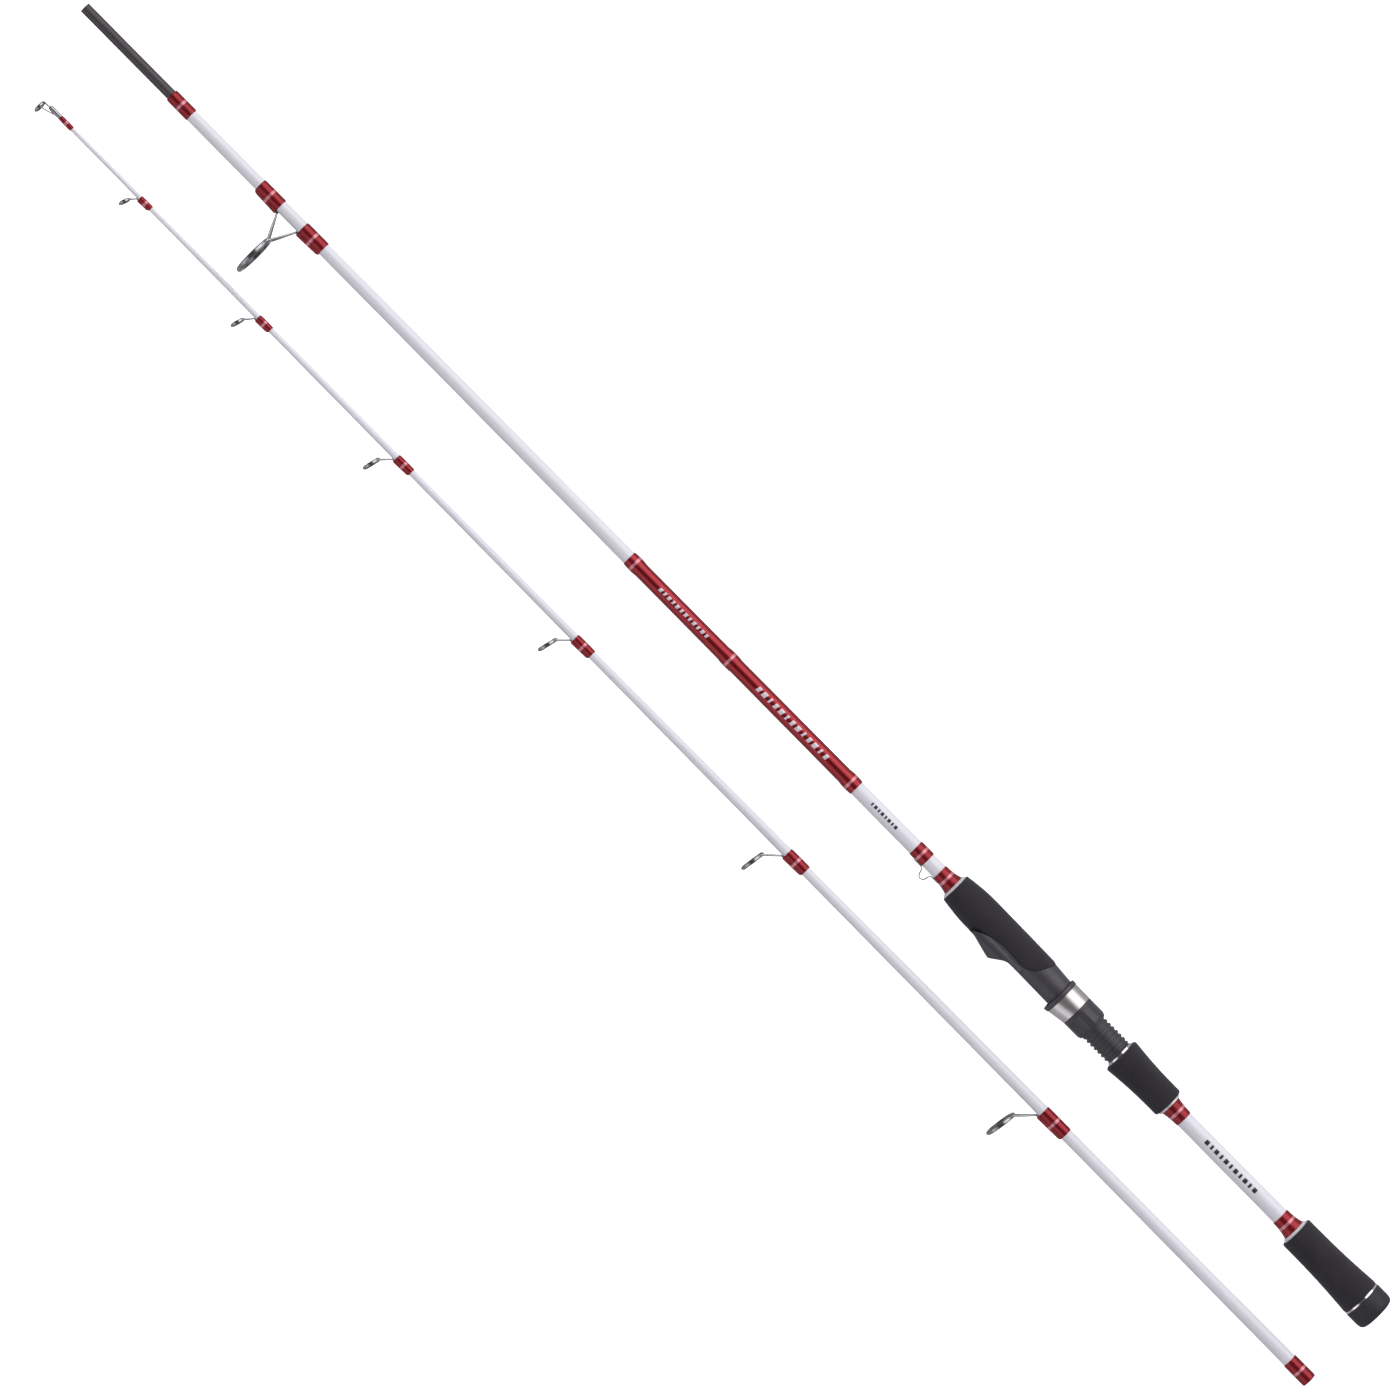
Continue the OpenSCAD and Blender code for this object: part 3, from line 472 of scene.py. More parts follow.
def turned_metal(name, low, high, grain, rough):
    """Metal with fine marks around the rod, as turning and brushing leave them."""
    finish = Finish(name, Metallic=1.0)
    marks = finish.noise(finish.stretched(grain, grain / 25, grain / 25), 1, 4)
    finish.colour(marks, (0.25, low), (0.75, high))
    finish.gloss(marks, *rough)
    finish.relief((marks, 0.000008))
    return finish.material


def guide_metal():
    finish = Finish("guide_metal", Metallic=1.0)
    clouds = finish.noise(finish.place, 500, 3)
    finish.colour(clouds, (0.3, (0.26, 0.255, 0.26)), (0.7, (0.36, 0.355, 0.36)))
    finish.gloss(finish.noise(finish.place, 2500), 0.16, 0.30)
    finish.relief((finish.noise(finish.place, 3000), 0.00001))
    return finish.material


def ceramic():
    finish = Finish("ring_ceramic", Specular_IOR_Level=0.7, Coat_Weight=0.4, Coat_Roughness=0.03)
    clouds = finish.noise(finish.place, 400, 3)
    finish.colour(clouds, (0.3, (0.035, 0.034, 0.038)), (0.7, (0.065, 0.062, 0.068)))
    finish.gloss(finish.noise(finish.place, 3000), 0.08, 0.16)
    finish.relief((finish.noise(finish.place, 2500), 0.000006))
    return finish.material


def mark_ink(name, low, high, metallic):
    finish = Finish(name, Metallic=metallic, Coat_Weight=0.6, Coat_Roughness=0.08)
    grain = finish.noise(finish.place, 1500, 3)
    finish.colour(grain, (0.3, low), (0.7, high))
    finish.gloss(finish.noise(finish.place, 2500), 0.3, 0.42)
    finish.relief((grain, 0.000008))
    return finish.material


def arbor_tape():
    finish = Finish("arbor_tape", Specular_IOR_Level=0.3)
    grain = finish.noise(finish.stretched(60, 900, 900), 2, 4)
    finish.colour(grain, (0.3, (0.30, 0.22, 0.12)), (0.7, (0.42, 0.33, 0.19)))
    finish.gloss(grain, 0.7, 0.85)
    finish.relief((grain, 0.00005))
    return finish.material


WHITE = white_lacquer()
CARBON = bare_carbon()
RED_THREAD = red_thread()
TRIM_THREAD = trim_thread()
RED_PAINT = red_paint()
FOAM = foam()
RUBBER = cap_rubber()
SEAT = seat_plastic()
NUT = nut_plastic()
CHECK = check_plastic()
TRIM_METAL = turned_metal("trim_metal", (0.62, 0.60, 0.62), (0.78, 0.76, 0.78), 6000, (0.14, 0.26))
HOOD_STEEL = turned_metal("hood_steel", (0.52, 0.49, 0.49), (0.60, 0.57, 0.57), 9000, (0.30, 0.42))
GUIDE_METAL = guide_metal()
CERAMIC = ceramic()
SILVER_INK = mark_ink("silver_ink", (0.62, 0.55, 0.59), (0.80, 0.74, 0.78), 0.15)
BLACK_INK = mark_ink("black_ink", (0.015, 0.015, 0.018), (0.035, 0.034, 0.04), 0.0)


# ---- Blanks ----

butt_start, butt_end = span("butt_blank")
tip_start, tip_end = span("tip_blank")
ferrule = MOUNTS["ferrule_male"]
socket = MOUNTS["ferrule_socket"]
ferrule_r = ferrule["dims"]["r_mm"] * MM
shoulder = butt_end - ferrule["dims"]["length_mm"] * MM
shoulder_r = ferrule_r + SHOULDER_STEP
butt_start_r = reach("butt_blank")
tip_start_r = reach("tip_blank")


def butt_r(x):
    """Radius of the butt section's white blank."""
    return butt_start_r + (shoulder_r - butt_start_r) * (x - butt_start) / (shoulder - butt_start)


def tip_r(x):
    """Radius of the tip section's blank."""
    return tip_start_r + (TIP_END_R - tip_start_r) * (x - tip_start) / (tip_end - tip_start)


def make_blanks():
    wall = TUBE_WALL
    ease = 0.15 * MM
    tube = eased([
        (butt_start, butt_r(butt_start) - wall),
        (butt_start, butt_r(butt_start), ease),
        *[(x, butt_r(x)) for x in stations(butt_start + 5 * MM, shoulder - 5 * MM, 60 * MM)],
        (shoulder, shoulder_r, ease),
        (shoulder, ferrule_r - wall),
    ])
    butt_piece("butt_tube", turned(tube), "white_blank", WHITE, "butt_blank")
    bare = eased([
        (shoulder, ferrule_r - wall),
        (shoulder, ferrule_r),
        (butt_end, ferrule_r, 0.25 * MM),
        (butt_end, ferrule_r - wall, 0.2 * MM),
    ])
    butt_piece("male_ferrule", turned(bare), "white_blank", CARBON, "butt_blank")
    depth = socket["dims"]["length_mm"] * MM
    socket_r = socket["dims"]["r_mm"] * MM
    bottom = tip_start + depth
    thin = tip_end - 300 * MM
    tip = eased([
        (tip_start, socket_r, 0.15 * MM),
        (tip_start, tip_start_r, 0.25 * MM),
        *[(x, tip_r(x)) for x in stations(tip_start + 5 * MM, tip_end - 5 * MM, 60 * MM)],
        (tip_end, tip_r(tip_end), 0.1 * MM),
        (tip_end, 0),
        (thin, 0),
        (bottom, tip_r(bottom) - wall),
        (bottom, socket_r),
    ])
    tip_piece("tip_tube", turned(tip), "white_blank", WHITE, "tip_blank")


# ---- Cap, grips and checks ----

def ring_line(node, r1, r2, ease, bulge=0):
    """Line of a ring around the butt blank, with rounded edges and a bulge or a waist."""
    x1, x2 = span(node)
    crown = [
        (x, r1 + (r2 - r1) * u + bulge * math.sin(math.pi * u))
        for u, x in ((k / 12, x1 + (x2 - x1) * k / 12) for k in range(1, 12))
    ]
    return eased([
        (x1, butt_r(x1)), (x1, r1, ease), *crown, (x2, r2, ease), (x2, butt_r(x2)),
    ])


def make_cap():
    x1, x2 = span("butt_cap")
    r = reach("butt_cap")
    floor = butt_start
    line = eased([
        (x1 + 0.5 * MM, 0),
        (x1 + 0.5 * MM, 5.2 * MM, 0.3 * MM),
        (x1, 5.9 * MM, 0.4 * MM),
        (x1, r, 5 * MM),
        (x2, r, 0.8 * MM),
        (x2, butt_r(x2)),
        (floor, butt_r(floor)),
        (floor, 0),
    ], 8)
    butt_piece("butt_cap_rubber", turned(line), "cap_rubber", RUBBER, "butt_cap")


def make_rings():
    for node in ("butt_cap_ring", "mid_grip_ring"):
        r = reach(node)
        line = ring_line(node, r, r, 0.35 * MM)
        butt_piece(node + "_turned", turned(line), "trim_metal", TRIM_METAL, node)


def make_foam_grips():
    grips = (
        ("rear_grip", reach("rear_grip"), REAR_GRIP_FRONT_R, 1.5 * MM),
        ("mid_grip", MID_GRIP_REAR_R, reach("mid_grip"), 2.6 * MM),
    )
    for node, r1, r2, ease in grips:
        line = ring_line(node, r1, r2, ease, -GRIP_WAIST)
        butt_piece(node + "_foam", turned(line), "eva_foam", FOAM, node)


def make_checks():
    for node, r1, r2 in (
        ("rear_grip_check", reach("rear_grip_check"), reach("rear_grip_check") - 1.6 * MM),
        ("mid_grip_check", reach("mid_grip_check"), reach("mid_grip_check")),
        ("fore_grip_check", reach("fore_grip_check"), reach("fore_grip_check") - 1.6 * MM),
    ):
        line = ring_line(node, r1, r2, 0.3 * MM)
        butt_piece(node + "_ring", turned(line), "check_plastic", CHECK, node)


# ---- Thread wraps ----

def resin_end(distance):
    """How much of its full thickness a wrap has, at a distance from its end."""
    return 0.35 + 0.65 * min(1, distance / (1.3 * MM)) ** 0.5


def wrap_line(x1, x2, r_at, t):
    """Line of a wrap of thickness t on a blank."""
    top = [(x, r_at(x) + t * resin_end(min(x - x1, x2 - x))) for x in stations(x1, x2, 0.4 * MM)]
    return [(x1, r_at(x1))] + top + [(x2, r_at(x2))]


def over_foot(r_at, outer, inner, low, high):
    """Form of a wrap that climbs over a guide's foot, as a ridge toward the guide."""
    def form(x, r, angle):
        if r < r_at(x) + 0.01 * MM:
            return r
        u = (x - outer) / (inner - outer)
        if u < -0.15:
            return r
        ridge_r = low + (high - low) * min(u, 1)
        centre = r_at(x)
        across = centre * math.sin(angle)
        if abs(across) >= ridge_r:
            return r
        ridge = centre * math.cos(angle) + math.sqrt(ridge_r ** 2 - across ** 2)
        ease = min(1, max(0, (u + 0.15) / 0.15))
        return r + max(0, ridge - r) * ease
    return form


def trim_line(x, r_at, width=1.8 * MM, t=TRIM_T):
    """Line of a light trim thread lying in a wrap, around station x."""
    edge = width / 2
    return eased([
        (x - edge, r_at(x) + WRAP_T * 0.6),
        (x - edge, r_at(x) + WRAP_T + t, 0.07 * MM),
        (x + edge, r_at(x) + WRAP_T + t, 0.07 * MM),
        (x + edge, r_at(x) + WRAP_T * 0.6),
    ])


def make_straight_wraps():
    for node in ("ferrule_wrap", "keeper_wrap"):
        x1, x2 = span(node)
        butt_piece(
            node + "_thread", turned(wrap_line(x1, x2, butt_r, WRAP_T)), "red_thread",
            RED_THREAD, node,
        )
        middle = (x1 + x2) / 2
        butt_piece(
            node + "_trim", turned(trim_line(middle, butt_r)), "trim_thread", TRIM_THREAD,
            "butt_trims",
        )
    for node in ("socket_wrap", "tip_top_wrap"):
        x1, x2 = span(node)
        tip_piece(
            node + "_thread", turned(wrap_line(x1, x2, tip_r, WRAP_T)), "red_thread",
            RED_THREAD, node,
        )
        middle = (x1 + x2) / 2
        tip_piece(
            node + "_trim", turned(trim_line(middle, tip_r)), "trim_thread", TRIM_THREAD,
            "tip_trims",
        )


def make_flares():
    for node, side in (("rear_grip_wrap", 1), ("mid_grip_wrap", -1), ("fore_grip_wrap", 1)):
        x1, x2 = span(node)
        near, far = (x1, x2) if side > 0 else (x2, x1)
        grow = reach(node) - butt_r(near) - WRAP_T

        def flare(x):
            return butt_r(x) + grow * (abs(x - far) / (x2 - x1)) ** 2.4

        line = [(x1, butt_r(x1))]
        for x in stations(x1, x2, 0.4 * MM):
            line.append((x, flare(x) + WRAP_T * resin_end(abs(x - far))))
        line.append((x2, butt_r(x2)))
        butt_piece(node + "_thread", turned(line), "red_thread", RED_THREAD, node)
        trim = trim_line((x1 + x2) / 2, butt_r)
        trim = [(x, r + flare(x) - butt_r(x)) for x, r in trim]
        butt_piece(node + "_trim", turned(trim), "trim_thread", TRIM_THREAD, "butt_trims")


# ---- Red section ----

def make_red_section():
    x1, x2 = span("red_skin")
    skin = [(x1, butt_r(x1))]
    skin += [(x, butt_r(x) + RED_T) for x in stations(x1, x2, 20 * MM)]
    skin += [(x2, butt_r(x2))]
    butt_piece("red_sleeve", turned(skin), "red_metallic", RED_PAINT, "red_skin")
    length = 10 * MM
    for k, place in enumerate((0, 0.56, 1)):
        start = x1 + place * (x2 - x1 - length)
        bands = []
        for x in stations(start, start + length, 0.35 * MM):
            u = (x - start) / length
            bulge = max(0, math.sin(math.pi * u)) ** 0.6
            bands.append((x, butt_r(x) + RED_T + WRAP_T * (0.12 + 0.88 * bulge)))
        line = [(start, butt_r(start) + RED_T)] + bands
        line.append((start + length, butt_r(start + length) + RED_T))
        butt_piece(f"red_band_{k + 1}", turned(line), "red_metallic", RED_PAINT, "red_bands")
        trim = trim_line(start + length / 2, lambda x: butt_r(x) + RED_T)
        butt_piece(f"red_band_{k + 1}_trim", turned(trim), "trim_thread", TRIM_THREAD, "butt_trims")


def mark(x, length, height, base, slant=0.0):
    """A thin printed bar on the top of the blank, x is its middle."""
    t = 0.03 * MM
    shape = block((-length / 2, -height / 2, 0), (length / 2, height / 2, t), t * 0.4)
    cuts = [
        ((0, k * height / 8, 0), (0, 1, 0)) for k in range(-3, 4)
    ]
    for place, way in cuts:
        bmesh.ops.bisect_plane(
            shape, geom=shape.verts[:] + shape.edges[:] + shape.faces[:], plane_co=place,
            plane_no=way,
        )
    for vert in shape.verts:
        along, across, up = vert.co
        r = base(x) + up
        angle = math.pi / 2 - across / base(x)
        vert.co = (x + along + across * slant, r * math.cos(angle), r * math.sin(angle))
    return shape


def make_marks():
    """Rows of plain bars where the rod has print."""
    x1, x2 = span("red_skin")

    def red_r(x):
        return butt_r(x) + RED_T

    bars = []
    first = x1 + 26 * MM
    for k in range(13):
        width = (2.4, 1.5, 3.1)[k % 3] * MM
        bars.append(mark(first + k * 4.7 * MM, width, 3.4 * MM, red_r, 0.25))
    second = x1 + 127 * MM
    for k in range(12):
        width = (1.6, 2.2)[k % 2] * MM
        bars.append(mark(second + k * 3.5 * MM, width, 2.4 * MM, red_r, 0.25))
    butt_piece("silver_marks", joined(*bars), "trim_metal", SILVER_INK)
    bars = []
    for start, count, step, height in (
        (x1 - 33 * MM, 8, 2.8 * MM, 2.2 * MM),
        (span("rear_grip_wrap")[1] + 22 * MM, 11, 4 * MM, 3 * MM),
    ):
        for k in range(count):
            width = (1.9, 1.1)[k % 2] * step / (2.8 * MM) * MM
            bars.append(mark(start + k * step, width, height, butt_r))
    butt_piece("black_marks", joined(*bars), "seat_plastic", BLACK_INK)


# ---- Reel seat ----

seat_x = span("mid_grip_ring")[1]
hood_x = span("hood_sleeve")[0]
lip_x = span("hood_sleeve")[1]
lip_end = span("hood_liner")[1]
body_x = lip_end + SEAT_FIT
fore_end = span("fore_grip")[1]
core_end = span("reel_seat_body")[1]
grip_r = reach("fore_grip")
hood_r = THREAD_R + SEAT_FIT + HOOD_WALL
hood_lean = math.atan(HOOD_FLARE / (lip_x - hood_x))


def body(x):
    return body_x + x * MM


def make_barrel():
    """The seat's threaded barrel, its thread a true helix."""
    root = THREAD_R - THREAD_DEPTH
    start = seat_x + 0.6 * MM
    stop = hood_x - 1.4 * MM

    def helix(x, r, angle):
        if r < root - 0.01 * MM:
            return r
        if x < start or x > stop:
            fade = 0
        else:
            fade = min(1, (x - start) / MM, (stop - x) / MM)
        turn = (x / THREAD_PITCH - angle / (2 * math.pi)) % 1
        height = min(1, max(0, (0.36 - abs(turn - 0.5)) / 0.18))
        height = height * height * (3 - 2 * height)
        return r + THREAD_DEPTH * height * fade if x <= stop else r

    line = [(seat_x, SEAT_BORE_R)]
    line += [(x, root) for x in stations(seat_x, hood_x - 1 * MM, 0.2 * MM)]
    line += [(hood_x, THREAD_R), (body_x, THREAD_R), (body_x, SEAT_BORE_R)]
    butt_piece(
        "seat_barrel", turned(line, 96, helix), "seat_plastic", SEAT, "reel_seat_body", crease=60,
    )


def foam_side(gap):
    """Outline of the fore grip's region seen from the side, moved back by a gap."""
    edge = [
        (13, -12), (15, -7), (18, -1.5), (22, 2.8), (27, 4.6),
        (36, 4.4), (46, 4.5), (55, 6.6), (62, 10), (66, 14),
    ]
    curve = blend_line(edge, 8)
    moved = []
    for k, (x, y) in enumerate(curve):
        before, after = curve[max(k - 1, 0)], curve[min(k + 1, len(curve) - 1)]
        way = Vector((after[0] - before[0], after[1] - before[1])).normalized()
        moved.append((body(x + way.y * gap), (y - way.x * gap) * MM))
    return moved + [(body(67), 20 * MM), (body(90), 20 * MM), (body(90), -20 * MM),
                    (body(13), -20 * MM)]


def shell_r(x):
    """Radius of the seat's body without its fixed hood."""
    line = [
        (0, 9.6), (13, 10.6), (18, grip_r / MM - 0.7), (36, grip_r / MM - 0.35),
        (60, grip_r / MM - 0.1), (90, grip_r / MM - 0.1),
    ]
    x = (x - body_x) / MM
    for (x1, r1), (x2, r2) in zip(line, line[1:]):
        if x <= x2:
            return (r1 + (r2 - r1) * max(0, x - x1) / (x2 - x1)) * MM
    return line[-1][1] * MM


def seat_top(x):
    """Height of the seat's body on the reel's side, along the foot's rest and the fixed hood."""
    rise = blend_line([(29, 9), (34, 9.15), (37, 10), (40, 12), (45, 15.7)], 8)
    line = [(0, 9.4), (29, 9)] + rise + [(46, 15.5), (59.5, 12), (67, 11.8), (90, 11.8)]
    x = (x - body_x) / MM
    for (x1, y1), (x2, y2) in zip(line, line[1:]):
        if x <= x2 and x2 > x1:
            return (y1 + (y2 - y1) * max(0, x - x1) / (x2 - x1)) * MM
    return line[-1][1] * MM


def seat_form(x, r, angle):
    """The fixed hood's flat top with round shoulders, added to a round body and cut to its side."""
    if r < SEAT_CORE_R + 0.1 * MM:
        return r
    cosine, sine = math.cos(angle), abs(math.sin(angle))
    outer = r
    shoulder_q, half = 7 * MM, 3.5 * MM
    if cosine > 0 and x > body(26):
        flat = NUB_H / cosine
        if flat * sine <= half:
            outer = max(outer, flat)
        else:
            centre = Vector((NUB_H - shoulder_q, half))
            along = cosine * centre.x + sine * centre.y
            inside = along ** 2 - centre.length_squared + shoulder_q ** 2
            if inside > 0:
                outer = max(outer, along + math.sqrt(inside))
    if cosine > 0.05:
        top = seat_top(x) / cosine
        soft = 0.45 * MM
        gap = outer - top
        if gap > -soft:
            blend = min(1, (gap + soft) / (2 * soft))
            outer = min(outer, outer - blend * blend * soft if gap < soft else top)
    return outer


def make_seat_body():
    line = [(body_x, SEAT_BORE_R), (body_x, shell_r(body_x) - 0.25 * MM)]
    line += [(x, shell_r(x)) for x in stations(body_x + 0.25 * MM, body(44.5), 0.5 * MM)]
    line += [(body(45), shell_r(body(45))), (body(46), shell_r(body(46)))]
    line += [(x, shell_r(x)) for x in stations(body(46.5), body(68), 0.5 * MM)]
    line += [(body(68.5), SEAT_CORE_R), (core_end, SEAT_CORE_R), (core_end, SEAT_BORE_R)]
    shell = turned(line, 128, seat_form)
    pocket = block(
        (body(30), FOOT_REST - 0.05 * MM, -6.5 * MM), (body(51), FOOT_REST + 4.25 * MM, 6.5 * MM),
        0.6 * MM,
    )
    core = turned([
        (body(-5), SEAT_BORE_R - 1 * MM), (body(-5), SEAT_CORE_R), (body(95), SEAT_CORE_R),
        (body(95), SEAT_BORE_R - 1 * MM),
    ], 128)
    foam_cut = carved(prism(foam_side(0), 20 * MM), (core, "DIFFERENCE"))
    shape = carved(shell, (foam_cut, "DIFFERENCE"), (pocket, "DIFFERENCE"))
    butt_piece("seat_body", shape, "seat_plastic", SEAT, "reel_seat_body", crease=35)


def make_fore_grip():
    g = grip_r / MM
    end = (fore_end - body_x) / MM
    profile = blend_line([
        (12.5, 10.95), (18, g - 0.5), (42, g - 0.15), (60, g), (72, g - 0.1), (end - 7, g - 0.95),
        (end, FORE_GRIP_FRONT_R / MM + 0.15),
    ], 8)
    line = [(body(12.5), SEAT_CORE_R + 0.05 * MM)]
    line += [(body(x), r * MM) for x, r in profile]
    line += [(fore_end, butt_r(fore_end))]
    line += [(core_end + 0.1 * MM, butt_r(core_end)), (core_end + 0.1 * MM, SEAT_CORE_R + 0.05 * MM)]
    grip = carved(
        turned(line, 128), (prism(foam_side(0.2), 20 * MM), "INTERSECT"), voxel=0.45 * MM, smooth=5,
    )
    butt_piece("fore_grip_foam", grip, "eva_foam", FOAM, "fore_grip", crease=60)


def hood_form(x, r, angle):
    """Leans the moving hood's outside out toward the reel's side."""
    out = max(0, (x - hood_x)) * math.tan(hood_lean)
    across = out * math.sin(angle)
    leaning = out * math.cos(angle) + math.sqrt((r - 0.1 * MM) ** 2 - across ** 2)
    return max(r, leaning)


def make_hood():
    r = hood_r
    sleeve = eased([
        (hood_x + 0.05 * MM, r - SLEEVE_WALL),
        (hood_x + 0.05 * MM, r, 0.25 * MM),
        *[(x, r) for x in stations(hood_x + 1 * MM, lip_x - 1 * MM, 1 * MM)],
        (lip_x - 0.05 * MM, r, 0.2 * MM),
        (lip_x - 0.05 * MM, r - SLEEVE_WALL),
    ])
    piece(
        "hood_sleeve_steel", turned(sleeve, 128, hood_form), BUTT_AXIS, "moving_hood",
        "hood_steel", HOOD_STEEL, "hood_sleeve",
    )
    bore = THREAD_R + SEAT_FIT

    def outside_only(x, radius, angle):
        return hood_form(x, radius, angle) if radius > bore + 0.3 * MM else radius

    liner = eased([
        (hood_x, bore),
        (hood_x, r - SLEEVE_WALL - 0.02 * MM),
        *[(x, r - SLEEVE_WALL - 0.02 * MM) for x in stations(hood_x + MM, lip_x - MM, MM)],
        (lip_x, r - SLEEVE_WALL - 0.02 * MM),
        (lip_x, r + 0.4 * MM, 0.3 * MM),
        (lip_end, r + 0.4 * MM, 0.45 * MM),
        (lip_end, bore, 0.2 * MM),
    ])
    shape = turned(liner, 128, outside_only)
    room = turned([
        (hood_x + 3 * MM, 0), (hood_x + 3 * MM, r - SLEEVE_WALL - 0.4 * MM),
        (lip_end + 5 * MM, r - SLEEVE_WALL - 0.4 * MM), (lip_end + 5 * MM, 0),
    ], 96, lambda x, radius, angle: hood_form(x, radius, angle) if radius > MM else radius)
    slot_box = block(
        (hood_x + 3 * MM, THREAD_R - 3 * MM, -6.5 * MM),
        (lip_end + 2 * MM, THREAD_R + 7 * MM, 6.5 * MM),
    )
    pocket = carved(room, (slot_box, "INTERSECT"))
    shape = carved(shape, (pocket, "DIFFERENCE"))
    piece(
        "hood_liner_plastic", shape, BUTT_AXIS, "moving_hood", "seat_plastic", SEAT, "hood_liner",
    )


def make_lock_nut():
    x1, x2 = span("lock_nut")
    r = reach("lock_nut")
    flutes = 14

    def fluted(x, radius, angle):
        if radius < r - 1.3 * MM:
            return radius
        depth = 0.42 * MM * min(1, max(0, (x2 - 1.6 * MM - x) / (0.8 * MM)))
        wave = abs(math.sin(flutes / 2 * angle)) ** 0.55
        return radius - depth * wave

    line = eased([
        (x1, THREAD_R + SEAT_FIT, 0.2 * MM),
        (x1, r - 1.0 * MM, 0.3 * MM),
        (x1 + 2.2 * MM, r, 0.5 * MM),
        *[(x, r) for x in stations(x1 + 3 * MM, x2 - 1 * MM, 0.7 * MM)],
        (x2, r, 0.4 * MM),
        (x2, THREAD_R + SEAT_FIT, 0.2 * MM),
    ])
    piece(
        "lock_nut_fluted", turned(line, flutes * 14, fluted), BUTT_AXIS, "lock_nut",
        "nut_plastic", NUT, "lock_nut",
    )


def make_hook_keeper():
    x = span("fore_grip_wrap")[1]
    y = butt_r(x) + 0.1 * MM
    line = [
        (16, 0.35), (11.6, 0.35), (10, 0.5), (8.4, 1.9), (7.7, 4.2), (6.2, 5.7), (4.2, 5.4),
        (3.1, 3.9), (2.6, 1.8), (1.4, 0.5), (-0.6, 0.35), (-4.2, 0.35),
    ]
    wire = swept([(x + a * MM, y + b * MM, 0) for a, b in line], 0.38 * MM, 4)
    butt_piece("hook_keeper_wire", wire, "guide_steel", GUIDE_METAL, "hook_keeper", crease=60)


# ---- Guides ----

def guide_sizes(d):
    """Sizes of a guide that follow from its ring's diameter, as in the CAD model."""
    d = d / MM
    return {
        "band": (0.25 + 0.075 * d) * MM,
        "depth": (2 + 0.035 * d) * MM,
        "foot_h": (0.55 + 0.03 * d) * MM,
        "foot_w": (1.2 + 0.05 * d) * MM,
        "leg": min(1.2, 0.7 + 0.03 * d) * MM,
    }


def ring_place(mount, axis):
    """Matrix that takes a shape turned about X onto a guide ring's place in rod coordinates."""
    place = Vector(mount["pos_m"]) - Vector((0, axis.y, axis.z))
    way = Vector(mount["axis"])
    if way.x < 0:
        way = -way
    lean = math.atan2(way.y, way.x)
    return Matrix.Translation(place) @ Matrix.Rotation(lean, 4, "Z")


def make_ring(name, mount, axis, d, body_name, node_frame, node_ring, legs):
    """A guide's steel frame with its legs, and its ceramic ring."""
    sizes = guide_sizes(d)
    to_place = ring_place(mount, axis)
    outer = d / 2
    inner = outer - FRAME_BAND
    half = sizes["depth"] * 0.3
    hoop = turned(eased([
        (-half, inner, 0.12 * MM), (-half, outer, 0.3 * MM), (half, outer, 0.3 * MM),
        (half, inner, 0.12 * MM),
    ]), 96)
    bmesh.ops.transform(hoop, matrix=to_place, verts=hoop.verts)
    steel = joined(hoop, *legs(to_place, sizes))
    piece(name + "_frame_steel", steel, axis, body_name, "guide_steel", GUIDE_METAL, node_frame,
          crease=50)
    half = sizes["depth"] / 2
    bore = inner - sizes["band"]
    round_off = min(half * 0.9, sizes["band"] * 0.48)
    ceramic_ring = turned(eased([
        (-half, bore, round_off), (-half, inner, 0.25 * MM), (half, inner, 0.25 * MM),
        (half, bore, round_off),
    ], 6), 96)
    bmesh.ops.transform(ceramic_ring, matrix=to_place, verts=ceramic_ring.verts)
    piece(name + "_ceramic", ceramic_ring, axis, body_name, "ring_ceramic", CERAMIC, node_ring,
          crease=50)


def foot_bar(x_out, x_in, r, sizes):
    """A guide's flat foot, ground thin at its outer end and thick where the legs start."""
    bar = block((0, 0, -sizes["foot_w"] / 2), (1 * MM, 1 * MM, sizes["foot_w"] / 2))
    for vert in bar.verts:
        at_end = vert.co.x > 0.5 * MM
        on_top = vert.co.y > 0.5 * MM
        vert.co.x = x_in if at_end else x_out
        height = (sizes["foot_h"] if at_end else FOOT_TAIL) if on_top else 0.02 * MM
        vert.co.y = r + height
        if not at_end:
            vert.co.z *= 0.5
    bmesh.ops.bevel(
        bar, geom=bar.edges[:], offset=0.12 * MM, affect="EDGES", segments=2, profile=0.5,
        material=-1,
    )
    bmesh.ops.recalc_face_normals(bar, faces=bar.faces)
    return bar


def ridge_radii(sizes):
    """Radii of the ridge that thread makes over a foot, at the foot's thin and thick ends."""
    half = sizes["foot_w"] / 2
    return tuple(math.hypot(half, h) + 0.2 * MM for h in (FOOT_TAIL, sizes["foot_h"]))


def leg_pair(start, to_place, d, sizes):
    """Two wires from a foot's end, spreading to both sides of the ring's near edge."""
    middle = d / 2 - FRAME_BAND / 2
    spread = math.radians(38)
    legs = []
    for side in (-1, 1):
        near = to_place @ Vector((0, -middle * math.cos(spread), side * middle * math.sin(spread)))
        beyond = to_place @ Vector((
            0, -middle * math.cos(spread * 1.5), side * middle * math.sin(spread * 1.5),
        ))
        low = Vector((start.x, start.y, side * sizes["foot_w"] / 4))
        knee = low.lerp(near, 0.5) + Vector((0, 0, side * 0.1 * MM))
        legs.append(swept([low, knee, near, beyond], sizes["leg"] / 2, 3))
    return legs


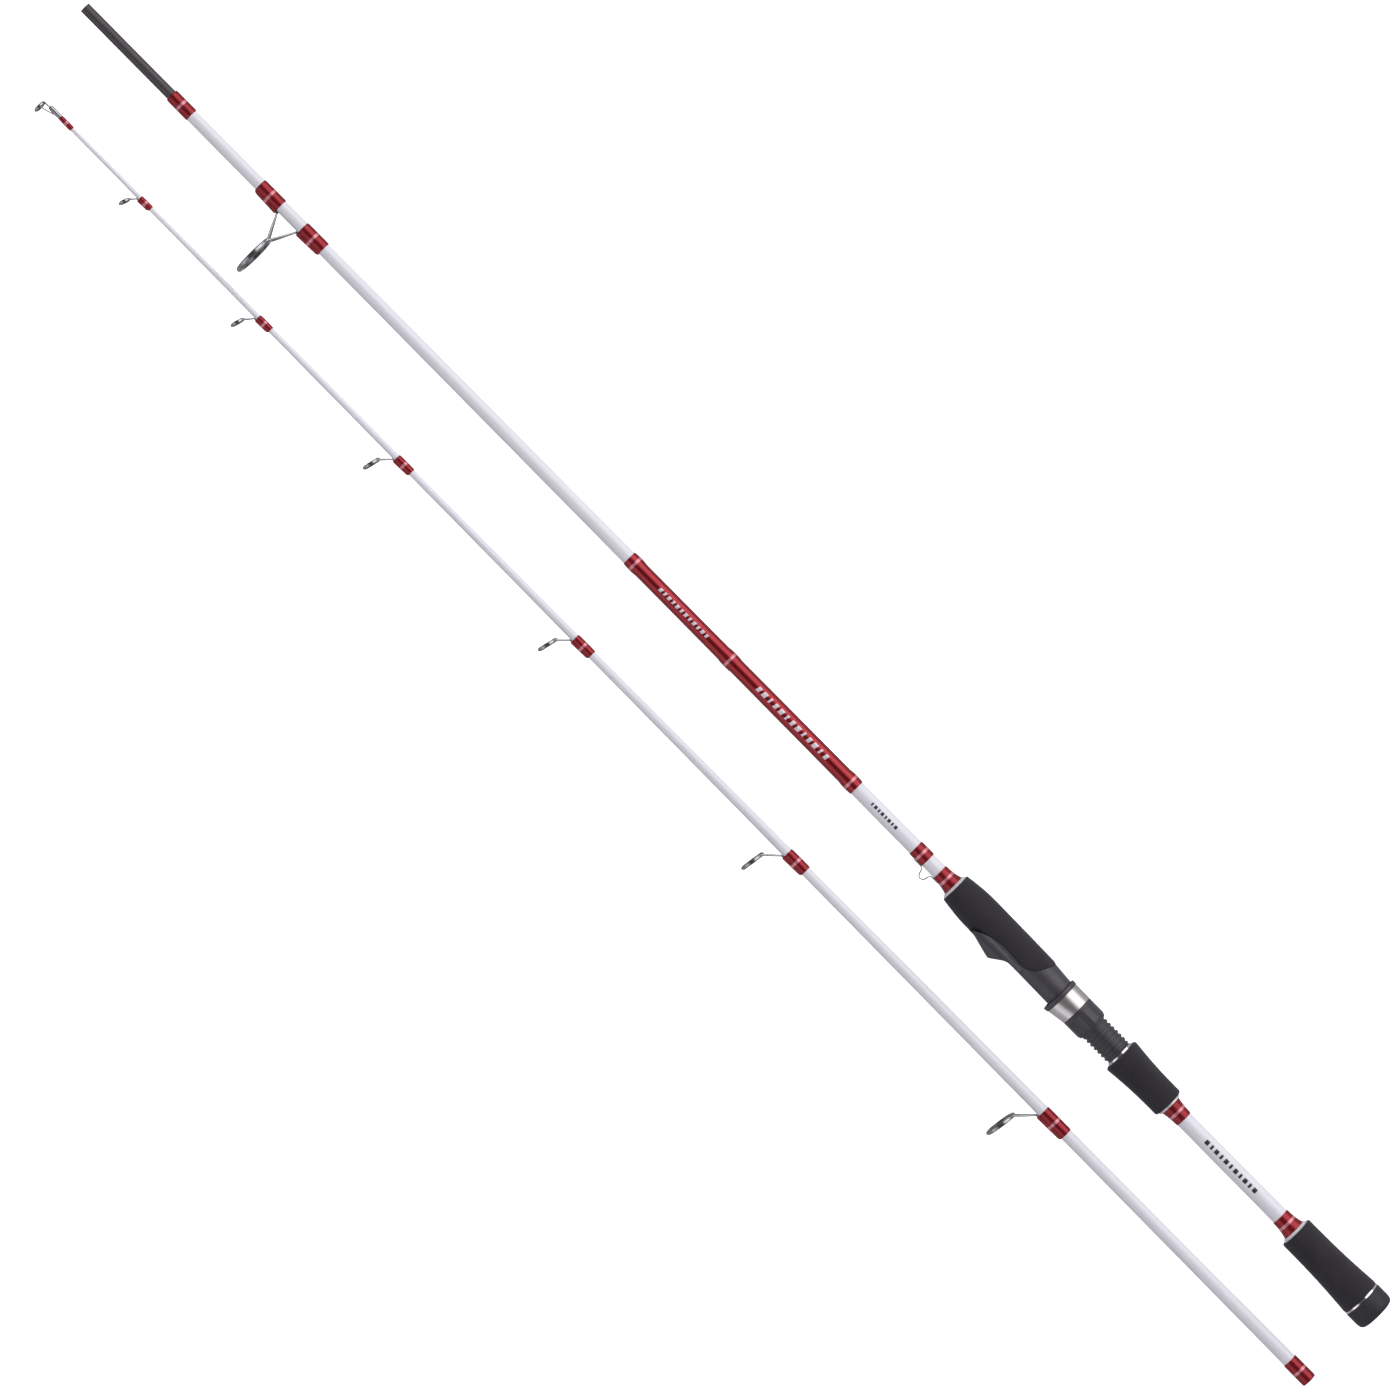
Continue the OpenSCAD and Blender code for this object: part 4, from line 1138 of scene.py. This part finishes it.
def make_stripping_guide():
    mount = MOUNTS["stripping_guide"]
    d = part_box("stripping_guide_ring")
    d = (d[1][2] - d[0][2]) + 2 * FRAME_BAND
    middle = mount["pos_m"][0]
    r = butt_r(middle)
    rear, front = span("stripping_rear_wrap"), span("stripping_front_wrap")

    def legs(to_place, sizes):
        parts = []
        for outer, inner, way in ((rear[0] + FOOT_INSET, rear[1] + FOOT_OVERHANG, 1),
                                  (front[1] - FOOT_INSET, front[0] - FOOT_OVERHANG, -1)):
            parts.append(foot_bar(outer, inner, r, sizes))
            start = Vector((inner - way * 0.4 * MM, r + sizes["foot_h"] - sizes["leg"] / 2, 0))
            parts += leg_pair(start, to_place, d, sizes)
        return parts

    make_ring("stripping_guide", mount, BUTT_AXIS, d, "butt_section", "stripping_guide_frame",
              "stripping_guide_ring", legs)
    low, high = ridge_radii(guide_sizes(d))
    for node, (x1, x2), outer, inner in (
        ("stripping_rear_wrap", rear, rear[0] + 1.5 * MM, rear[1]),
        ("stripping_front_wrap", front, front[1] - 1.5 * MM, front[0]),
    ):
        form = over_foot(butt_r, outer, inner, low, high)
        line = wrap_line(x1, x2, butt_r, WRAP_T)
        butt_piece(node + "_thread", turned(line, 96, form), "red_thread", RED_THREAD, node)
        trim = turned(trim_line((x1 + x2) / 2, butt_r), 96, trim_form(form))
        butt_piece(node + "_trim", trim, "trim_thread", TRIM_THREAD, "butt_trims")


def trim_form(form):
    """A trim thread follows its wrap's form, standing off it by as much as on the round blank."""
    def follow(x, r, angle):
        raised = form(x, r, angle)
        return raised + (TRIM_T if raised > r + 0.01 * MM else 0)
    return follow


def make_tip_guides():
    for k in range(1, 7):
        name = f"guide_{k}"
        mount = MOUNTS[name]
        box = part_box(name + "_ring")
        d = (box[1][2] - box[0][2]) + 2 * FRAME_BAND
        x1, x2 = span(name + "_wrap")
        r = tip_r(x2)
        inner = x2 + FOOT_OVERHANG

        def legs(to_place, sizes):
            start = Vector((inner - 0.3 * MM, r + sizes["foot_h"] - sizes["leg"] / 2, 0))
            foot = foot_bar(x1 + FOOT_INSET, inner, r, sizes)
            return [foot] + leg_pair(start, to_place, d, sizes)

        make_ring(name, mount, TIP_AXIS, d, "tip_section", name + "_frame", name + "_ring", legs)
        low, high = ridge_radii(guide_sizes(d))
        form = over_foot(tip_r, x1 + 1.5 * MM, x2 - WRAP_T, low, high)
        line = wrap_line(x1, x2, tip_r, WRAP_T)
        tip_piece(name + "_thread", turned(line, 72, form), "red_thread", RED_THREAD,
                  name + "_wrap")
        trim = turned(trim_line((x1 + x2) / 2, tip_r), 72, trim_form(form))
        tip_piece(name + "_trim", trim, "trim_thread", TRIM_THREAD, "tip_trims")


def make_tip_top():
    mount = MOUNTS["tip_top"]
    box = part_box("tip_top_ring")
    d = (box[1][2] - box[0][2]) + 2 * FRAME_BAND
    tube_x = span("tip_top_frame")[0]
    tube_end = tip_end + 1 * MM
    bore = tip_r(tube_x)
    tube_r = bore + 0.3 * MM
    ring_x = mount["pos_m"][0]

    def legs(to_place, sizes):
        tube = turned(eased([
            (tube_x, bore, 0.1 * MM), (tube_x, tube_r, 0.15 * MM), (tube_end, tube_r, 0.7 * MM),
            (tube_end, 0), (tip_end, 0), (tip_end, bore),
        ]), 48)
        parts = [tube]
        side_r = d / 2 - FRAME_BAND / 2
        for side in (-1, 1):
            parts.append(swept([
                (tip_end - 0.5 * MM, 0, side * 0.5 * MM), (ring_x, 0.5 * MM, side * 0.5 * MM),
            ], 0.55 * MM, 3))
            parts.append(swept([
                (tip_end - 4.5 * MM, tube_r - 0.2 * MM, side * 0.4 * MM),
                (ring_x, d / 2, side * side_r),
            ], 0.38 * MM, 3))
        return parts

    make_ring("tip_top", mount, TIP_AXIS, d, "tip_section", "tip_top_frame", "tip_top_ring", legs)


# ---- Stage ----

def make_stage():
    floor_shape = bmesh.new()
    bmesh.ops.create_grid(floor_shape, x_segments=1, y_segments=1, size=8)
    bmesh.ops.translate(floor_shape, vec=(0, 0, -0.0006), verts=floor_shape.verts)
    mesh = bpy.data.meshes.new("floor")
    floor_shape.to_mesh(mesh)
    floor_shape.free()
    floor = bpy.data.objects.new("floor", mesh)
    bpy.context.scene.collection.objects.link(floor)
    finish = Finish("floor_white", Base_Color=(0.86, 0.86, 0.86, 1), Roughness=0.95,
                    Emission_Color=(1, 1, 1, 1), Emission_Strength=1.0, Specular_IOR_Level=0.1)
    mesh.materials.append(finish.material)
    floor.visible_diffuse = False
    floor.visible_glossy = False


def make_world():
    """White around, darker straight overhead so that gloss has a dark line between the lights."""
    scene = bpy.context.scene
    scene.world = bpy.data.worlds.new("studio")
    scene.world.use_nodes = True
    tree = scene.world.node_tree
    place = tree.nodes.new("ShaderNodeTexCoord")
    parts = tree.nodes.new("ShaderNodeSeparateXYZ")
    ramp = tree.nodes.new("ShaderNodeValToRGB")
    tree.links.new(place.outputs["Generated"], parts.inputs["Vector"])
    tree.links.new(parts.outputs["Z"], ramp.inputs["Fac"])
    ramp.color_ramp.elements[0].position = 0.35
    ramp.color_ramp.elements[0].color = (0.50, 0.50, 0.53, 1)
    ramp.color_ramp.elements[1].position = 0.8
    ramp.color_ramp.elements[1].color = (0.10, 0.09, 0.10, 1)
    tree.links.new(ramp.outputs["Color"], tree.nodes["Background"].inputs["Color"])
    tree.nodes["Background"].inputs["Strength"].default_value = 1.0


def make_light(name, place, aim, size, power, colour):
    data = bpy.data.lights.new(name, "AREA")
    data.shape = "RECTANGLE"
    data.size, data.size_y = size
    data.energy = power
    data.color = colour
    lamp = bpy.data.objects.new(name, data)
    lamp.location = place
    lamp.rotation_euler = (Vector(aim) - Vector(place)).to_track_quat("-Z", "Y").to_euler()
    bpy.context.scene.collection.objects.link(lamp)


def make_lights():
    centre = (0, 0, 0)
    make_light("key", (0, -1.75, 1.5), centre, (3.6, 2.5), 62, (1.0, 0.985, 1.0))
    make_light("fill", (0, 2.0, 1.4), centre, (3.6, 2.0), 20, (0.98, 0.98, 1.0))


def make_camera():
    """Straight above, with the rod running from the lower right to the upper left."""
    data = bpy.data.cameras.new("camera")
    data.sensor_width = 36
    data.lens = 171.3
    data.clip_start, data.clip_end = 0.1, 50
    camera = bpy.data.objects.new("camera", data)
    right = Vector((-0.703, -0.711, 0)).normalized()
    up = Vector((0.711, -0.703, 0)).normalized()
    away = Vector((0, 0, 1))
    turn = Matrix((right, up, away)).transposed().to_4x4()
    camera.matrix_world = Matrix.Translation((-0.0035, -0.0092, 3.979)) @ turn
    bpy.context.scene.collection.objects.link(camera)
    bpy.context.scene.camera = camera


make_camera()
make_stage()
make_world()
make_lights()
make_blanks()
make_cap()
make_rings()
make_foam_grips()
make_checks()
make_straight_wraps()
make_flares()
make_red_section()
make_marks()
make_barrel()
make_seat_body()
make_fore_grip()
make_hood()
make_lock_nut()
make_hook_keeper()
make_stripping_guide()
make_tip_guides()
make_tip_top()
arbors = frame["nodes"]["seat_arbors"].data
arbors.materials.clear()
arbors.materials.append(arbor_tape())
bpy.context.scene.view_settings.view_transform = "Standard"
